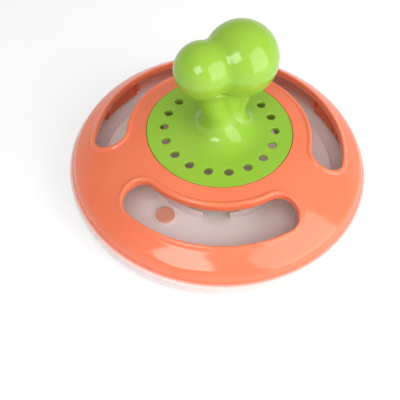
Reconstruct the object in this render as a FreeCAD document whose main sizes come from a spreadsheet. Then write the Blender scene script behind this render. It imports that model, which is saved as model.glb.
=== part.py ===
import FreeCAD, Part
import math
import os

import Sketcher

# A wobbling treat toy: a domed shell with three windows clips onto a weighted bowl.
# Treats go in under a twist-lock lid with a bone-shaped handle.
# Millimetres, +Z up. The origin is on the axis, in the plane that the foot ring stands on.
# One window faces -Y. Angles are in degrees from +X, counter-clockwise seen from above.

SIZES = [
    ("rim_radius", 100.0, "widest edge, the rim of the bowl"),
    ("shell_inset", 2.7, "from that edge in to the edge of the shell"),
    ("rim_height", 24.0, "plane where the shell meets the bowl"),
    ("crease_inset", 6.5, "from the widest edge in to where the dome starts to roll over"),
    ("crease_height", 32.6, "height of that place"),
    ("dome_curve", 100.0, "radius of the dome's section"),
    ("edge_curve", 10.5, "radius of the rolled edge below it"),
    ("shell_wall", 2.2, "wall of the shell"),
    ("lid_top", 51.4, "height of the lid's face"),
    ("lid_wall", 2.6, "thickness of the disc"),
    ("lid_gap", 0.3, "gap round the lid's edge"),
    ("seal_gap", 0.3, "gap above and below the seal ring"),
    ("seal_wall", 0.7, "thickness of the seal ring"),
    ("seal_width", 2.6, "width of the seal ring"),
    ("seal_inset", 0.5, "from the collar's inside out to the seal ring"),
    ("collar_radius", 43.2, "inside of the collar under the lid"),
    ("collar_wall", 2.0, "wall of the collar"),
    ("ledge_reach", 3.7, "from the collar's inside out to the edge of the lid's disc"),
    ("collar_drop", 11.0, "depth of the collar under its ledge"),
    ("ledge_wall", 2.0, "thickness of the ledge"),
    ("flange_width", 1.6, "how far the locking flange stands in"),
    ("flange_wall", 2.0, "thickness of the locking flange"),
    ("flange_drop", 6.2, "top of the flange under the ledge"),
    ("turn_gap", 0.4, "clearance round what turns with the lid"),
    ("plug_wall", 1.8, "wall of the lid's plug"),
    ("lug_wall", 2.0, "height of a locking lug"),
    ("lug_angle", 22.0, "arc of a locking lug"),
    ("notch_angle", 28.0, "arc of a notch in the flange"),
    ("lock_turn", 35.0, "turn from open to locked"),
    ("stop_angle", 4.0, "arc of the stop at the end of that turn"),
    ("stop_gap", 1.0, "angle left between lug and stop"),
    ("hole_circle", 35.75, "circle of the scent holes"),
    ("hole_diameter", 5.6, "scent hole"),
    ("hole_first", 4.5, "angle of one scent hole"),
    ("window_circle", 70.6, "middle line of a window"),
    ("window_reach", 10.6, "half the width of a window"),
    ("window_sweep", 36.9, "angle from a window's middle to the centre of its round end"),
    ("bead_width", 3.0, "bead round a window"),
    ("bead_rise", 1.3, "bead above the dome"),
    ("skirt_wall", 2.0, "wall that hangs from the bead"),
    ("skirt_drop", 4.4, "how far it hangs under the dome's face"),
    ("tab_gap", 2.0, "gap between a clip tab and the bowl's rim"),
    ("tab_wall", 1.8, "thickness of a clip tab"),
    ("tab_angle", 22.0, "arc of a clip tab"),
    ("tab_bottom", 17.3, "height of a tab's lower edge"),
    ("tab_rib", 4.0, "depth of the ribs at a tab's ends"),
    ("tab_rib_wall", 1.8, "thickness of those ribs"),
    ("barb_reach", 1.5, "how far a tab's barb stands out"),
    ("barb_rise", 2.4, "height of the barb"),
    ("catch_gap", 0.3, "clearance between clip and catch"),
    ("catch_wall", 2.0, "height of a catch"),
    ("catch_angle", 16.0, "arc of a catch"),
    ("bowl_wall", 2.6, "wall of the bowl"),
    ("bowl_clear", 0.8, "bowl's underside above the ground"),
    ("bowl_flat", 50.0, "radius of the flat underside"),
    ("bowl_shoulder", 16.5, "from the bowl's side in to where the underside turns up"),
    ("bowl_turn_height", 3.2, "height of that turn"),
    ("bowl_side_height", 18.5, "height where the side becomes upright"),
    ("bowl_corner", 16.0, "radius of the turn's section"),
    ("land_wall", 7.2, "wall of the bowl's thick rim"),
    ("lip_wall", 1.4, "lip that locates the shell"),
    ("lip_rise", 2.2, "height of the lip"),
    ("foot_inner", 33.0, "inside of the foot ring"),
    ("foot_outer", 43.0, "outside of the foot ring"),
    ("foot_groove", 1.0, "depth of its groove"),
    ("tray_inset", 2.5, "from the bowl's turn in to the edge of the raised floor"),
    ("tray_top", 14.0, "height of the raised floor"),
    ("tray_wall", 2.0, "wall of the tray"),
    ("gate_radius", 46.0, "outside of the gate ring"),
    ("gate_wall", 2.2, "wall of the gate ring"),
    ("gate_rise", 6.0, "height of the gate ring"),
    ("gate_angle", 21.5, "arc of a gate"),
    ("gate_turn", 5.0, "angle from a window's middle to its gate"),
    ("boss_circle", 55.3, "circle of the floor bosses"),
    ("boss_offset", 32.0, "angle from a window's middle to its boss, clockwise"),
    ("boss_radius", 7.6, "radius of a tray boss"),
    ("boss_rise", 1.0, "boss above the floor"),
    ("boss_joint", 9.0, "height where tray boss and bowl boss meet"),
    ("bowl_boss_radius", 4.0, "radius of a bowl boss"),
    ("counterbore", 5.7, "radius of the recess for a screw head"),
    ("screw_seat", 11.6, "height of a screw head's seat"),
    ("screw_radius", 1.5, "radius of a screw's shank"),
    ("screw_clear", 0.1, "radial clearance round a screw"),
    ("head_radius", 2.8, "radius of a ballast screw's head"),
    ("tray_head", 4.5, "radius of a tray screw's flanged head"),
    ("head_rise", 1.9, "height of a screw head"),
    ("screw_length", 7.0, "shank under the head"),
    ("socket_reach", 0.9, "half the arm of a cross recess"),
    ("socket_wall", 0.7, "width of a cross recess"),
    ("socket_depth", 1.0, "depth of a cross recess"),
    ("plug_cap", 6.2, "radius of a floor plug's cap"),
    ("plug_rise", 1.0, "height of the cap"),
    ("plug_stem", 1.2, "length of its stem"),
    ("plug_fit", 0.1, "clearance round the stem"),
    ("ballast_inner", 14.0, "hole in the ballast ring"),
    ("ballast_outer", 50.0, "edge of the ballast ring"),
    ("ballast_wall", 5.0, "thickness of the ballast ring"),
    ("ballast_circle", 24.0, "circle of the ballast screws"),
    ("ballast_gap", 0.4, "gap between a bowl boss and the ballast ring"),
    ("ballast_screw_length", 4.4, "shank under a ballast screw's head"),
    ("washer_radius", 6.0, "radius of the ballast screws' washers"),
    ("washer_wall", 0.9, "thickness of those washers"),
    ("stem_foot", 28.0, "radius where the flare meets the disc"),
    ("stem_waist", 10.5, "radius of the stem where the flare ends"),
    ("stem_waist_rise", 15.5, "height of that place over the disc"),
    ("flare_curve", 17.0, "radius of the flare's section"),
    ("flare_wall", 2.6, "wall of the flare"),
    ("column_start", 54.0, "height where the stem's columns start"),
    ("large_column_foot", 8.0, "axis to the large lobe's column at that height"),
    ("large_column_top", 26.5, "axis to that column at the height of the lobes' centres"),
    ("large_column_radius", 4.2, "that column's radius at its foot"),
    ("large_column_tip", 4.8, "its radius at the top"),
    ("small_column_foot", 1.8, "axis to the small lobe's column at its foot"),
    ("small_column_top", 14.5, "axis to it at the top, towards the small lobe"),
    ("small_column_radius", 8.4, "that column's radius at its foot"),
    ("small_column_tip", 8.3, "its radius at the top"),
    ("web_foot", 5.0, "axis to the web between the columns, at its foot"),
    ("web_top", 5.5, "axis to the web at the top"),
    ("web_radius", 6.0, "the web's radius at its foot"),
    ("web_tip", 3.5, "its radius at the top"),
    ("lobe_height", 104.2, "height of the lobes' centres"),
    ("lobe_angle", 32.0, "direction from the axis to the large lobe"),
    ("large_lobe", 22.0, "radius of the large lobe"),
    ("large_offset", 11.1, "axis to the large lobe's centre"),
    ("small_lobe", 16.5, "radius of the small lobe"),
    ("small_offset", 13.3, "axis to the small lobe's centre"),
    ("lobe_blend", 8.0, "radius of the blend between the lobes"),
    ("lobe_wall", 2.6, "wall of the hollow knob"),
    ("knob_boss", 5.0, "radius of the boss inside the knob"),
    ("knob_boss_depth", 22.0, "how far the boss reaches above the large lobe's lowest place"),
    ("knob_screw_offset", 4.2, "axis of the toy to the knob screw, towards the small lobe"),
    ("knob_screw_radius", 2.0, "shank of the knob screw"),
    ("knob_screw_head", 3.6, "radius of its head"),
    ("knob_screw_length", 36.0, "shank under its head"),
    ("cap_radius", 27.0, "disc that closes the stem from below"),
    ("cap_wall", 1.8, "thickness of that disc"),
    ("cap_ring_wall", 1.4, "wall of the ring that grips the stem"),
    ("cap_ring_rise", 4.0, "height of that ring"),
]

QUARTER_TURN = 90.0
OVERSHOOT = 1.0
WINDOWS = 3
WINDOW_ANGLES = [-90.0 + 360.0 / WINDOWS * number for number in range(WINDOWS)]
SCENT_HOLES = 18
BALLAST_SCREWS = 3
FULL_TURN = 360.0
HALF_TURN = 180.0
TALL = 200.0


class Size:
    """A number that keeps the sheet expression that gives it."""

    def __init__(self, number, text):
        self.number = float(number)
        self.text = text

    def __add__(self, other):
        other = as_size(other)
        return Size(self.number + other.number, "(%s + %s)" % (self.text, other.text))

    def __sub__(self, other):
        other = as_size(other)
        return Size(self.number - other.number, "(%s - %s)" % (self.text, other.text))

    def __mul__(self, other):
        other = as_size(other)
        return Size(self.number * other.number, "(%s * %s)" % (self.text, other.text))

    def __truediv__(self, other):
        other = as_size(other)
        return Size(self.number / other.number, "(%s / %s)" % (self.text, other.text))

    def __radd__(self, other):
        return as_size(other) + self

    def __rsub__(self, other):
        return as_size(other) - self

    def __rmul__(self, other):
        return as_size(other) * self

    def __neg__(self):
        return Size(-self.number, "(0 - %s)" % self.text)


def as_size(value):
    if isinstance(value, Size):
        return value
    return Size(value, "(%.9f)" % value)


def root(value):
    return Size(math.sqrt(max(value.number, 0.0)), "sqrt(%s)" % value.text)


def cosine(value):
    value = as_size(value)
    return Size(math.cos(math.radians(value.number)), "cos(%s)" % value.text)


def sine(value):
    value = as_size(value)
    return Size(math.sin(math.radians(value.number)), "sin(%s)" % value.text)


def write_sheet(doc):
    sheet = doc.addObject("Spreadsheet::Sheet", "Sizes")
    named = {}
    for row, (alias, number, note) in enumerate(SIZES, start=1):
        sheet.set("A%d" % row, alias)
        sheet.set("B%d" % row, str(number))
        sheet.set("C%d" % row, note)
        sheet.setAlias("B%d" % row, alias)
        named[alias] = Size(number, "Sizes.%s" % alias)
    doc.recompute()
    return named


doc = FreeCAD.newDocument("TreatToy")
size = write_sheet(doc)


def bind(thing, field, value):
    thing.setExpression(field, as_size(value).text)


def polar(radius, angle):
    return radius * cosine(angle), radius * sine(angle)


def arc_centre(start, end, radius, turn):
    """Centre of the short arc from start to end, counter-clockwise where turn is 1."""
    across = end[0] - start[0]
    along = end[1] - start[1]
    chord = root(across * across + along * along)
    reach = root(radius * radius - chord * chord / 4.0) * turn
    middle = ((start[0] + end[0]) / 2.0, (start[1] + end[1]) / 2.0)
    return middle[0] - reach * along / chord, middle[1] + reach * across / chord


class Outline:
    """One closed loop of lines and arcs, each corner and centre tied to the sheet."""

    def __init__(self, sketch):
        self.sketch = sketch

    def tie(self, geometry, point, field, value):
        number = self.sketch.addConstraint(
            Sketcher.Constraint("Distance" + field, -1, 1, geometry, point, value.number))
        bind(self.sketch, "Constraints[%d]" % number, value)

    def loop(self, corners, arcs=None):
        """arcs gives, for the edge that leaves a corner, its centre and its turn."""
        arcs = arcs or {}
        corners = [(as_size(x), as_size(y)) for x, y in corners]
        edges = []
        for number, start in enumerate(corners):
            end = corners[(number + 1) % len(corners)]
            edges.append(self.edge(start, end, arcs.get(number)))
        for number, (geometry, first, last) in enumerate(edges):
            following, its_first, _ = edges[(number + 1) % len(edges)]
            self.sketch.addConstraint(
                Sketcher.Constraint("Coincident", geometry, last, following, its_first))
            self.tie(geometry, first, "X", corners[number][0])
            self.tie(geometry, first, "Y", corners[number][1])

    def edge(self, start, end, arc):
        begin = FreeCAD.Vector(start[0].number, start[1].number, 0)
        finish = FreeCAD.Vector(end[0].number, end[1].number, 0)
        if arc is None:
            return self.sketch.addGeometry(Part.LineSegment(begin, finish), False), 1, 2
        centre, turn = arc
        centre = (as_size(centre[0]), as_size(centre[1]))
        middle = FreeCAD.Vector(centre[0].number, centre[1].number, 0)
        circle = Part.Circle(middle, FreeCAD.Vector(0, 0, 1), (begin - middle).Length)
        if turn < 0:
            begin, finish = finish, begin
        low = math.atan2(begin.y - middle.y, begin.x - middle.x)
        high = math.atan2(finish.y - middle.y, finish.x - middle.x)
        if high <= low:
            high += 2 * math.pi
        geometry = self.sketch.addGeometry(Part.ArcOfCircle(circle, low, high), False)
        across = abs(finish.x - begin.x)
        along = abs(finish.y - begin.y)
        field = "Y" if across > along else "X"
        self.tie(geometry, 3, field, centre[0] if field == "X" else centre[1])
        return (geometry, 1, 2) if turn > 0 else (geometry, 2, 1)


def upright_sketch(name):
    sketch = doc.addObject("Sketcher::SketchObject", name)
    upright = FreeCAD.Rotation(FreeCAD.Vector(1, 0, 0), QUARTER_TURN)
    sketch.Placement = FreeCAD.Placement(FreeCAD.Vector(), upright)
    return sketch


def level_sketch(name, height=0.0):
    sketch = doc.addObject("Sketcher::SketchObject", name)
    bind(sketch, "Placement.Base.z", height)
    return sketch


def turned(name, corners, arcs=None, first=0.0, sweep=FULL_TURN):
    """Turns an upright outline about Z, from the angle first through sweep."""
    sketch = upright_sketch(name + "_outline")
    Outline(sketch).loop(corners, arcs)
    ring = doc.addObject("Part::Revolution", name)
    ring.Source = sketch
    ring.Axis = FreeCAD.Vector(0, 0, 1)
    ring.Solid = True
    bind(ring, "Angle", sweep)
    ring.Placement = FreeCAD.Placement(FreeCAD.Vector(), FreeCAD.Rotation(FreeCAD.Vector(0, 0, 1), 0))
    bind(ring, "Placement.Rotation.Angle", first)
    return ring


def raised(sketch, name, length):
    """Raises a level sketch along +Z."""
    block = doc.addObject("Part::Extrusion", name)
    block.Base = sketch
    block.DirMode = "Custom"
    block.Dir = FreeCAD.Vector(0, 0, 1)
    block.Solid = True
    bind(block, "LengthFwd", length)
    return block


def pillar(name, centre, radius, bottom, top):
    rod = doc.addObject("Part::Cylinder", name)
    bind(rod, "Radius", radius)
    bind(rod, "Height", top - bottom)
    bind(rod, "Placement.Base.x", centre[0])
    bind(rod, "Placement.Base.y", centre[1])
    bind(rod, "Placement.Base.z", bottom)
    return rod


def fuse(name, pieces):
    whole = doc.addObject("Part::MultiFuse", name)
    whole.Shapes = pieces
    whole.Refine = True
    return whole


def cut(name, base, tool):
    rest = doc.addObject("Part::Cut", name)
    rest.Base = base
    rest.Tool = tool
    rest.Refine = True
    return rest


def common(name, first, second):
    shared = doc.addObject("Part::Common", name)
    shared.Base = first
    shared.Tool = second
    return shared


def new_body(name):
    return doc.addObject("PartDesign::Body", name)


def base_plane(body, role):
    return [plane for plane in body.Origin.OriginFeatures if plane.Role == role][0]


def turned_body(name, corners, arcs=None):
    """A body with one full revolution of an upright outline about Z."""
    body = new_body(name)
    sketch = body.newObject("Sketcher::SketchObject", name + "_outline")
    sketch.AttachmentSupport = (base_plane(body, "XZ_Plane"), [""])
    sketch.MapMode = "FlatFace"
    Outline(sketch).loop(corners, arcs)
    revolution = body.newObject("PartDesign::Revolution", name + "_turned")
    revolution.Profile = sketch
    revolution.ReferenceAxis = (sketch, ["V_Axis"])
    revolution.Angle = FULL_TURN
    body.Tip = revolution
    return body


# Heights and radii that several sub-parts share
crease_radius = size["rim_radius"] - size["crease_inset"]
shell_edge = size["rim_radius"] - size["shell_inset"]
bowl_radius = size["rim_radius"]
bowl_turn = bowl_radius - size["bowl_shoulder"]
rim_land = bowl_radius - size["land_wall"]
tab_radius = rim_land - size["tab_gap"]
tray_radius = bowl_turn - size["tray_inset"]
lid_radius = size["collar_radius"] + size["ledge_reach"]
dome_start = (lid_radius + size["lid_gap"], size["lid_top"])
dome_end = (crease_radius, size["crease_height"])
dome_centre = arc_centre(dome_start, dome_end, size["dome_curve"], -1)
shell_foot = (shell_edge, size["rim_height"])
edge_centre = arc_centre(dome_end, shell_foot, size["edge_curve"], -1)
inner_foot = (shell_edge - size["shell_wall"], size["rim_height"])
wall_share = size["shell_wall"] / size["dome_curve"]
inner_crease = (crease_radius - (crease_radius - dome_centre[0]) * wall_share,
                size["crease_height"] - (size["crease_height"] - dome_centre[1]) * wall_share)
inner_edge_centre = arc_centre(inner_foot, inner_crease, size["edge_curve"] - size["shell_wall"], 1)
lid_under = size["lid_top"] - size["lid_wall"]
seal_top = lid_under - size["seal_gap"]
seal_under = seal_top - size["seal_wall"]
ledge_top = seal_under - size["seal_gap"]
collar_outer = size["collar_radius"] + size["collar_wall"]
flange_radius = size["collar_radius"] - size["flange_width"]
flange_top = ledge_top - size["flange_drop"]
flange_under = flange_top - size["flange_wall"]
lug_top = flange_under - size["turn_gap"]
lug_under = lug_top - size["lug_wall"]
bowl_floor = size["bowl_clear"] + size["bowl_wall"]
bowl_slope = (size["bowl_turn_height"] - size["bowl_clear"]) / (bowl_turn - size["bowl_flat"])
tray_under = size["tray_top"] - size["tray_wall"]
boss_top = size["tray_top"] + size["boss_rise"]
ballast_top = bowl_floor + size["ballast_wall"]
stem_waist_height = size["lid_top"] + size["stem_waist_rise"]
barb_top = size["tab_bottom"] + size["barb_rise"]


def dome_height(radius, rise):
    """Height at a radius of the surface that lies rise above the dome's face."""
    reach = size["dome_curve"] + rise
    across = radius - dome_centre[0]
    return dome_centre[1] + root(reach * reach - across * across)


def floor_height(radius):
    """Top of the bowl's sloping floor."""
    return bowl_floor + (radius - size["bowl_flat"]) * bowl_slope


def boss_angles():
    return [middle - size["boss_offset"] for middle in WINDOW_ANGLES]


def ballast_angles():
    return [as_size(FULL_TURN / BALLAST_SCREWS * number) for number in range(BALLAST_SCREWS)]


def slots(name, reach):
    """The three windows' outlines, reach to each side of their middle line."""
    sketch = level_sketch(name + "_outline")
    outline = Outline(sketch)
    sweep = size["window_sweep"]
    inner = size["window_circle"] - reach
    outer = size["window_circle"] + reach
    axis = (as_size(0.0), as_size(0.0))
    for middle in WINDOW_ANGLES:
        low, high = middle - sweep, middle + sweep
        outline.loop(
            [polar(outer, low), polar(outer, high), polar(inner, high), polar(inner, low)],
            {0: (axis, 1), 1: (polar(size["window_circle"], high), 1),
             2: (axis, -1), 3: (polar(size["window_circle"], low), 1)})
    return raised(sketch, name, TALL)


def dome_band(name, inner, outer, low, high):
    """A ring that follows the dome, from low to high above its face."""
    return turned(
        name,
        [(inner, dome_height(inner, low)), (outer, dome_height(outer, low)),
         (outer, dome_height(outer, high)), (inner, dome_height(inner, high))],
        {0: (dome_centre, -1), 2: (dome_centre, 1)})


def shell_skin():
    ledge_outer = dome_start[0] + size["shell_wall"]
    ledge_under = ledge_top - size["ledge_wall"]
    collar_bottom = ledge_top - size["collar_drop"]
    return turned_body(
        "shell_skin",
        [dome_start, dome_end, shell_foot, inner_foot, inner_crease,
         (ledge_outer, dome_height(ledge_outer, -size["shell_wall"])),
         (ledge_outer, ledge_under), (collar_outer, ledge_under),
         (collar_outer, collar_bottom), (size["collar_radius"], collar_bottom),
         (size["collar_radius"], ledge_top), (dome_start[0], ledge_top)],
        {0: (dome_centre, -1), 1: (edge_centre, -1), 3: (inner_edge_centre, 1), 4: (dome_centre, 1)})


def locking_flange(number, middle):
    """The flange between two notches, and the stop that ends the lid's turn."""
    root_radius = size["collar_radius"] + size["collar_wall"] / 2.0
    ring = [(flange_radius, flange_under), (root_radius, flange_under),
            (root_radius, flange_top), (flange_radius, flange_top)]
    start = middle + size["notch_angle"] / 2.0
    sweep = FULL_TURN / WINDOWS - size["notch_angle"]
    flange = turned("flange_%d" % number, ring, None, start, sweep)
    block = [(flange_radius, lug_under), (root_radius, lug_under),
             (root_radius, flange_under), (flange_radius, flange_under)]
    stop_start = middle + size["lug_angle"] / 2.0 + size["lock_turn"] + size["stop_gap"]
    stop = turned("turn_stop_%d" % number, block, None, stop_start, size["stop_angle"])
    return [flange, stop]


def clip_tab(number, middle):
    """A tab that hangs from the shell, with a barb outside and a rib at each end."""
    outer = tab_radius
    inner = outer - size["tab_wall"]
    bottom = size["tab_bottom"]
    tip = outer + size["barb_reach"]
    buried = -size["shell_wall"] / 2.0
    top = dome_height(outer, buried)
    start = middle - size["tab_angle"] / 2.0
    tab = turned(
        "tab_%d" % number,
        [(inner, bottom), (outer, bottom), (tip, bottom + size["barb_rise"] / 2.0), (tip, barb_top),
         (outer, barb_top), (outer, top), (inner, top)],
        None, start, size["tab_angle"])
    pieces = [tab]
    rib_inner = inner - size["tab_rib"]
    rib_outer = inner + size["tab_wall"] / 2.0
    rib_sweep = size["tab_rib_wall"] / outer * (HALF_TURN / math.pi)
    for end, first in (("low", start), ("high", start + size["tab_angle"] - rib_sweep)):
        pieces.append(turned(
            "tab_rib_%s_%d" % (end, number),
            [(rib_outer, bottom + size["barb_rise"]), (rib_outer, dome_height(rib_outer, buried)),
             (rib_inner, dome_height(rib_inner, buried)), (rib_inner, bottom + 3 * size["barb_rise"])],
            None, first, rib_sweep))
    return pieces


def top_shell():
    reach = size["window_reach"]
    inner = size["window_circle"] - reach - 2 * size["bead_width"]
    outer = size["window_circle"] + reach + 2 * size["bead_width"]
    bead = common("bead", slots("bead_slots", reach + size["bead_width"]),
                  dome_band("bead_band", inner, outer, -size["shell_wall"] / 2.0, size["bead_rise"]))
    skirt = common("skirt", slots("skirt_slots", reach + size["skirt_wall"]),
                   dome_band("skirt_band", inner, outer, -size["skirt_drop"], as_size(0.0)))
    pieces = [shell_skin(), bead, skirt]
    for number, middle in enumerate(WINDOW_ANGLES, start=1):
        pieces += locking_flange(number, middle)
        pieces += clip_tab(number, middle)
    return cut("top_shell", fuse("shell_whole", pieces), slots("windows", reach))


def base_bowl():
    wall = size["bowl_wall"]
    corner = size["bowl_corner"]
    low_outer = (bowl_turn, size["bowl_turn_height"])
    side_outer = (bowl_radius, size["bowl_side_height"])
    low_inner = (bowl_turn, floor_height(bowl_turn))
    side_inner = (bowl_radius - wall, size["bowl_side_height"])
    lip_outer = rim_land + size["lip_wall"]
    lip_top = size["rim_height"] + size["lip_rise"]
    groove_top = size["bowl_clear"] + size["foot_groove"]
    axis = as_size(0.0)
    bowl = turned_body(
        "bowl_skin",
        [(axis, size["bowl_clear"]), (size["foot_inner"], size["bowl_clear"]),
         (size["foot_inner"], groove_top), (size["foot_outer"], groove_top),
         (size["foot_outer"], size["bowl_clear"]), (size["bowl_flat"], size["bowl_clear"]),
         low_outer, side_outer, (bowl_radius, size["rim_height"]),
         (lip_outer, size["rim_height"]), (lip_outer, lip_top), (rim_land, lip_top),
         (rim_land, side_inner[1] + (bowl_radius - wall - rim_land)),
         side_inner, low_inner, (size["bowl_flat"], bowl_floor), (axis, bowl_floor)],
        {6: (arc_centre(low_outer, side_outer, corner, 1), 1),
         13: (arc_centre(side_inner, low_inner, corner - wall, -1), -1)})
    pieces = [bowl]
    catch_under = barb_top + size["catch_gap"]
    catch_inner = tab_radius + size["catch_gap"]
    catch_outer = bowl_radius - wall / 2.0
    for number, middle in enumerate(WINDOW_ANGLES, start=1):
        pieces.append(turned(
            "catch_%d" % number,
            [(catch_inner, catch_under), (catch_outer, catch_under),
             (catch_outer, catch_under + size["catch_wall"]),
             (catch_inner, catch_under + size["catch_wall"])],
            None, middle - size["catch_angle"] / 2.0, size["catch_angle"]))
    pilots = []
    pilot_radius = size["screw_radius"] + size["screw_clear"]
    tray_tip = size["screw_seat"] - size["screw_length"] - size["screw_clear"]
    ballast_tip = ballast_top - size["ballast_screw_length"] - size["screw_clear"]
    posts = [(angle, size["boss_circle"], size["boss_joint"], tray_tip) for angle in boss_angles()]
    posts += [(angle, size["ballast_circle"], ballast_top, ballast_tip) for angle in ballast_angles()]
    for number, (angle, circle, top, tip) in enumerate(posts, start=1):
        centre = polar(circle, angle)
        pieces.append(pillar("bowl_boss_%d" % number, centre, size["bowl_boss_radius"],
                             bowl_floor - wall / 2.0, top))
        pilots.append(pillar("pilot_%d" % number, centre, pilot_radius, tip, top + OVERSHOOT))
    return cut("base_bowl", fuse("bowl_whole", pieces), fuse("pilots", pilots))


def floor_tray():
    wall = size["tray_wall"]
    inner = tray_radius - wall
    axis = as_size(0.0)
    tray = turned_body(
        "tray_skin",
        [(axis, tray_under), (inner, tray_under), (inner, floor_height(inner)),
         (tray_radius, floor_height(tray_radius)),
         (tray_radius, size["tray_top"]), (axis, size["tray_top"])])
    pieces = [tray]
    gate_inner = size["gate_radius"] - size["gate_wall"]
    gate_top = size["tray_top"] + size["gate_rise"]
    for number, middle in enumerate(WINDOW_ANGLES, start=1):
        pieces.append(turned(
            "gate_wall_%d" % number,
            [(gate_inner, tray_under), (size["gate_radius"], tray_under),
             (size["gate_radius"], gate_top), (gate_inner, gate_top)],
            None, middle + size["gate_turn"] + size["gate_angle"] / 2.0,
            FULL_TURN / WINDOWS - size["gate_angle"]))
    holes = []
    for number, angle in enumerate(boss_angles(), start=1):
        centre = polar(size["boss_circle"], angle)
        pieces.append(pillar("tray_boss_%d" % number, centre, size["boss_radius"],
                             size["boss_joint"], boss_top))
        holes.append(pillar("head_recess_%d" % number, centre, size["counterbore"],
                            size["screw_seat"], boss_top + OVERSHOOT))
        holes.append(pillar("screw_way_%d" % number, centre, size["screw_radius"] + size["screw_clear"],
                            size["boss_joint"] - OVERSHOOT, size["screw_seat"]))
    return cut("floor_tray", fuse("tray_whole", pieces), fuse("tray_holes", holes))


def cross_recess(name, centre, top):
    """A cross in a screw head: two crossed slots."""
    sketch = level_sketch(name + "_outline", top - size["socket_depth"])
    reach, half = size["socket_reach"], size["socket_wall"] / 2.0
    x, y = centre
    Outline(sketch).loop([
        (x + reach, y - half), (x + reach, y + half), (x + half, y + half), (x + half, y + reach),
        (x - half, y + reach), (x - half, y + half), (x - reach, y + half), (x - reach, y - half),
        (x - half, y - half), (x - half, y - reach), (x + half, y - reach), (x + half, y - half)])
    return raised(sketch, name, size["socket_depth"] + OVERSHOOT)


def tray_screws():
    screws = []
    seat = size["screw_seat"]
    for number, angle in enumerate(boss_angles(), start=1):
        centre = polar(size["boss_circle"], angle)
        shank = pillar("tray_shank_%d" % number, centre, size["screw_radius"],
                       seat - size["screw_length"], seat)
        head = pillar("tray_head_%d" % number, centre, size["tray_head"], seat,
                      seat + size["head_rise"])
        whole = fuse("tray_screw_blank_%d" % number, [shank, head])
        recess = cross_recess("tray_cross_%d" % number, centre, seat + size["head_rise"])
        screws.append(cut("tray_screw_%d" % number, whole, recess))
    return group("tray_screws", screws)


def ballast_screws():
    screws = []
    for number, angle in enumerate(ballast_angles(), start=1):
        centre = polar(size["ballast_circle"], angle)
        head_under = ballast_top + size["washer_wall"]
        head_top = head_under + size["head_rise"]
        shank = pillar("ballast_shank_%d" % number, centre, size["screw_radius"],
                       ballast_top - size["ballast_screw_length"], head_under)
        washer = pillar("ballast_washer_%d" % number, centre, size["washer_radius"],
                        ballast_top, head_under)
        head = pillar("ballast_head_%d" % number, centre, size["head_radius"], head_under, head_top)
        whole = fuse("ballast_screw_blank_%d" % number, [shank, washer, head])
        recess = cross_recess("ballast_cross_%d" % number, centre, head_top)
        screws.append(cut("ballast_screw_%d" % number, whole, recess))
    return group("ballast_screws", screws)


def group(name, pieces):
    """Separate solids of one kind, kept side by side."""
    together = doc.addObject("Part::Compound", name)
    together.Links = pieces
    return together


def ballast_ring():
    ring = turned_body(
        "ballast_blank",
        [(size["ballast_inner"], bowl_floor), (size["ballast_outer"], bowl_floor),
         (size["ballast_outer"], ballast_top), (size["ballast_inner"], ballast_top)])
    radius = size["bowl_boss_radius"] + size["ballast_gap"]
    holes = []
    for number, angle in enumerate(ballast_angles(), start=1):
        centre = polar(size["ballast_circle"], angle)
        holes.append(pillar("ballast_hole_%d" % number, centre, radius,
                            bowl_floor - OVERSHOOT, ballast_top + OVERSHOOT))
    return cut("ballast_ring", ring, fuse("ballast_holes", holes))


def screw_plugs():
    plugs = []
    for number, angle in enumerate(boss_angles(), start=1):
        centre = polar(size["boss_circle"], angle)
        stem = pillar("plug_stem_%d" % number, centre, size["counterbore"] - size["plug_fit"],
                      boss_top - size["plug_stem"], boss_top)
        cap = pillar("plug_cap_%d" % number, centre, size["plug_cap"], boss_top,
                     boss_top + size["plug_rise"])
        plugs.append(fuse("floor_plug_%d" % number, [stem, cap]))
    return plugs


def foot_ring():
    top = size["bowl_clear"] + size["foot_groove"]
    ground = as_size(0.0)
    return turned_body("foot_ring", [(size["foot_inner"], ground), (size["foot_outer"], ground),
                                     (size["foot_outer"], top), (size["foot_inner"], top)])


def lid_seal():
    inner = size["collar_radius"] + size["seal_inset"]
    outer = inner + size["seal_width"]
    return turned_body("lid_seal", [(inner, seal_under), (outer, seal_under),
                                    (outer, seal_top), (inner, seal_top)])


def lobe_form(name, inset):
    """Two round lobes and the blend between them, turned about the line through their centres."""
    large = size["large_lobe"] - inset
    small = size["small_lobe"] - inset
    blend = size["lobe_blend"] + inset
    large_at, small_at = size["large_offset"], -size["small_offset"]
    apart = large_at - small_at
    near, far = small + blend, large + blend
    along = (near * near - far * far + apart * apart) / (2.0 * apart)
    middle = (small_at + along, root(near * near - along * along))
    axis = as_size(0.0)

    def meeting(at, radius):
        share = radius / (radius + blend)
        return at + (middle[0] - at) * share, middle[1] * share

    body = new_body(name)
    sketch = body.newObject("Sketcher::SketchObject", name + "_outline")
    sketch.AttachmentSupport = (base_plane(body, "XZ_Plane"), [""])
    sketch.MapMode = "FlatFace"
    Outline(sketch).loop(
        [(small_at - small, axis), meeting(small_at, small), meeting(large_at, large),
         (large_at + large, axis)],
        {0: ((small_at, axis), -1), 1: (middle, 1), 2: ((large_at, axis), -1)})
    revolution = body.newObject("PartDesign::Revolution", name + "_turned")
    revolution.Profile = sketch
    revolution.ReferenceAxis = (sketch, ["H_Axis"])
    revolution.Angle = FULL_TURN
    body.Tip = revolution
    body.Placement = FreeCAD.Placement(FreeCAD.Vector(), FreeCAD.Rotation(FreeCAD.Vector(0, 0, 1), 0))
    bind(body, "Placement.Rotation.Angle", size["lobe_angle"])
    bind(body, "Placement.Base.z", size["lobe_height"])
    return body


def knob_screw_line():
    return polar(-size["knob_screw_offset"], size["lobe_angle"])


def flare_centre(start, end, radius):
    return arc_centre(start, end, radius, -1)


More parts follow.
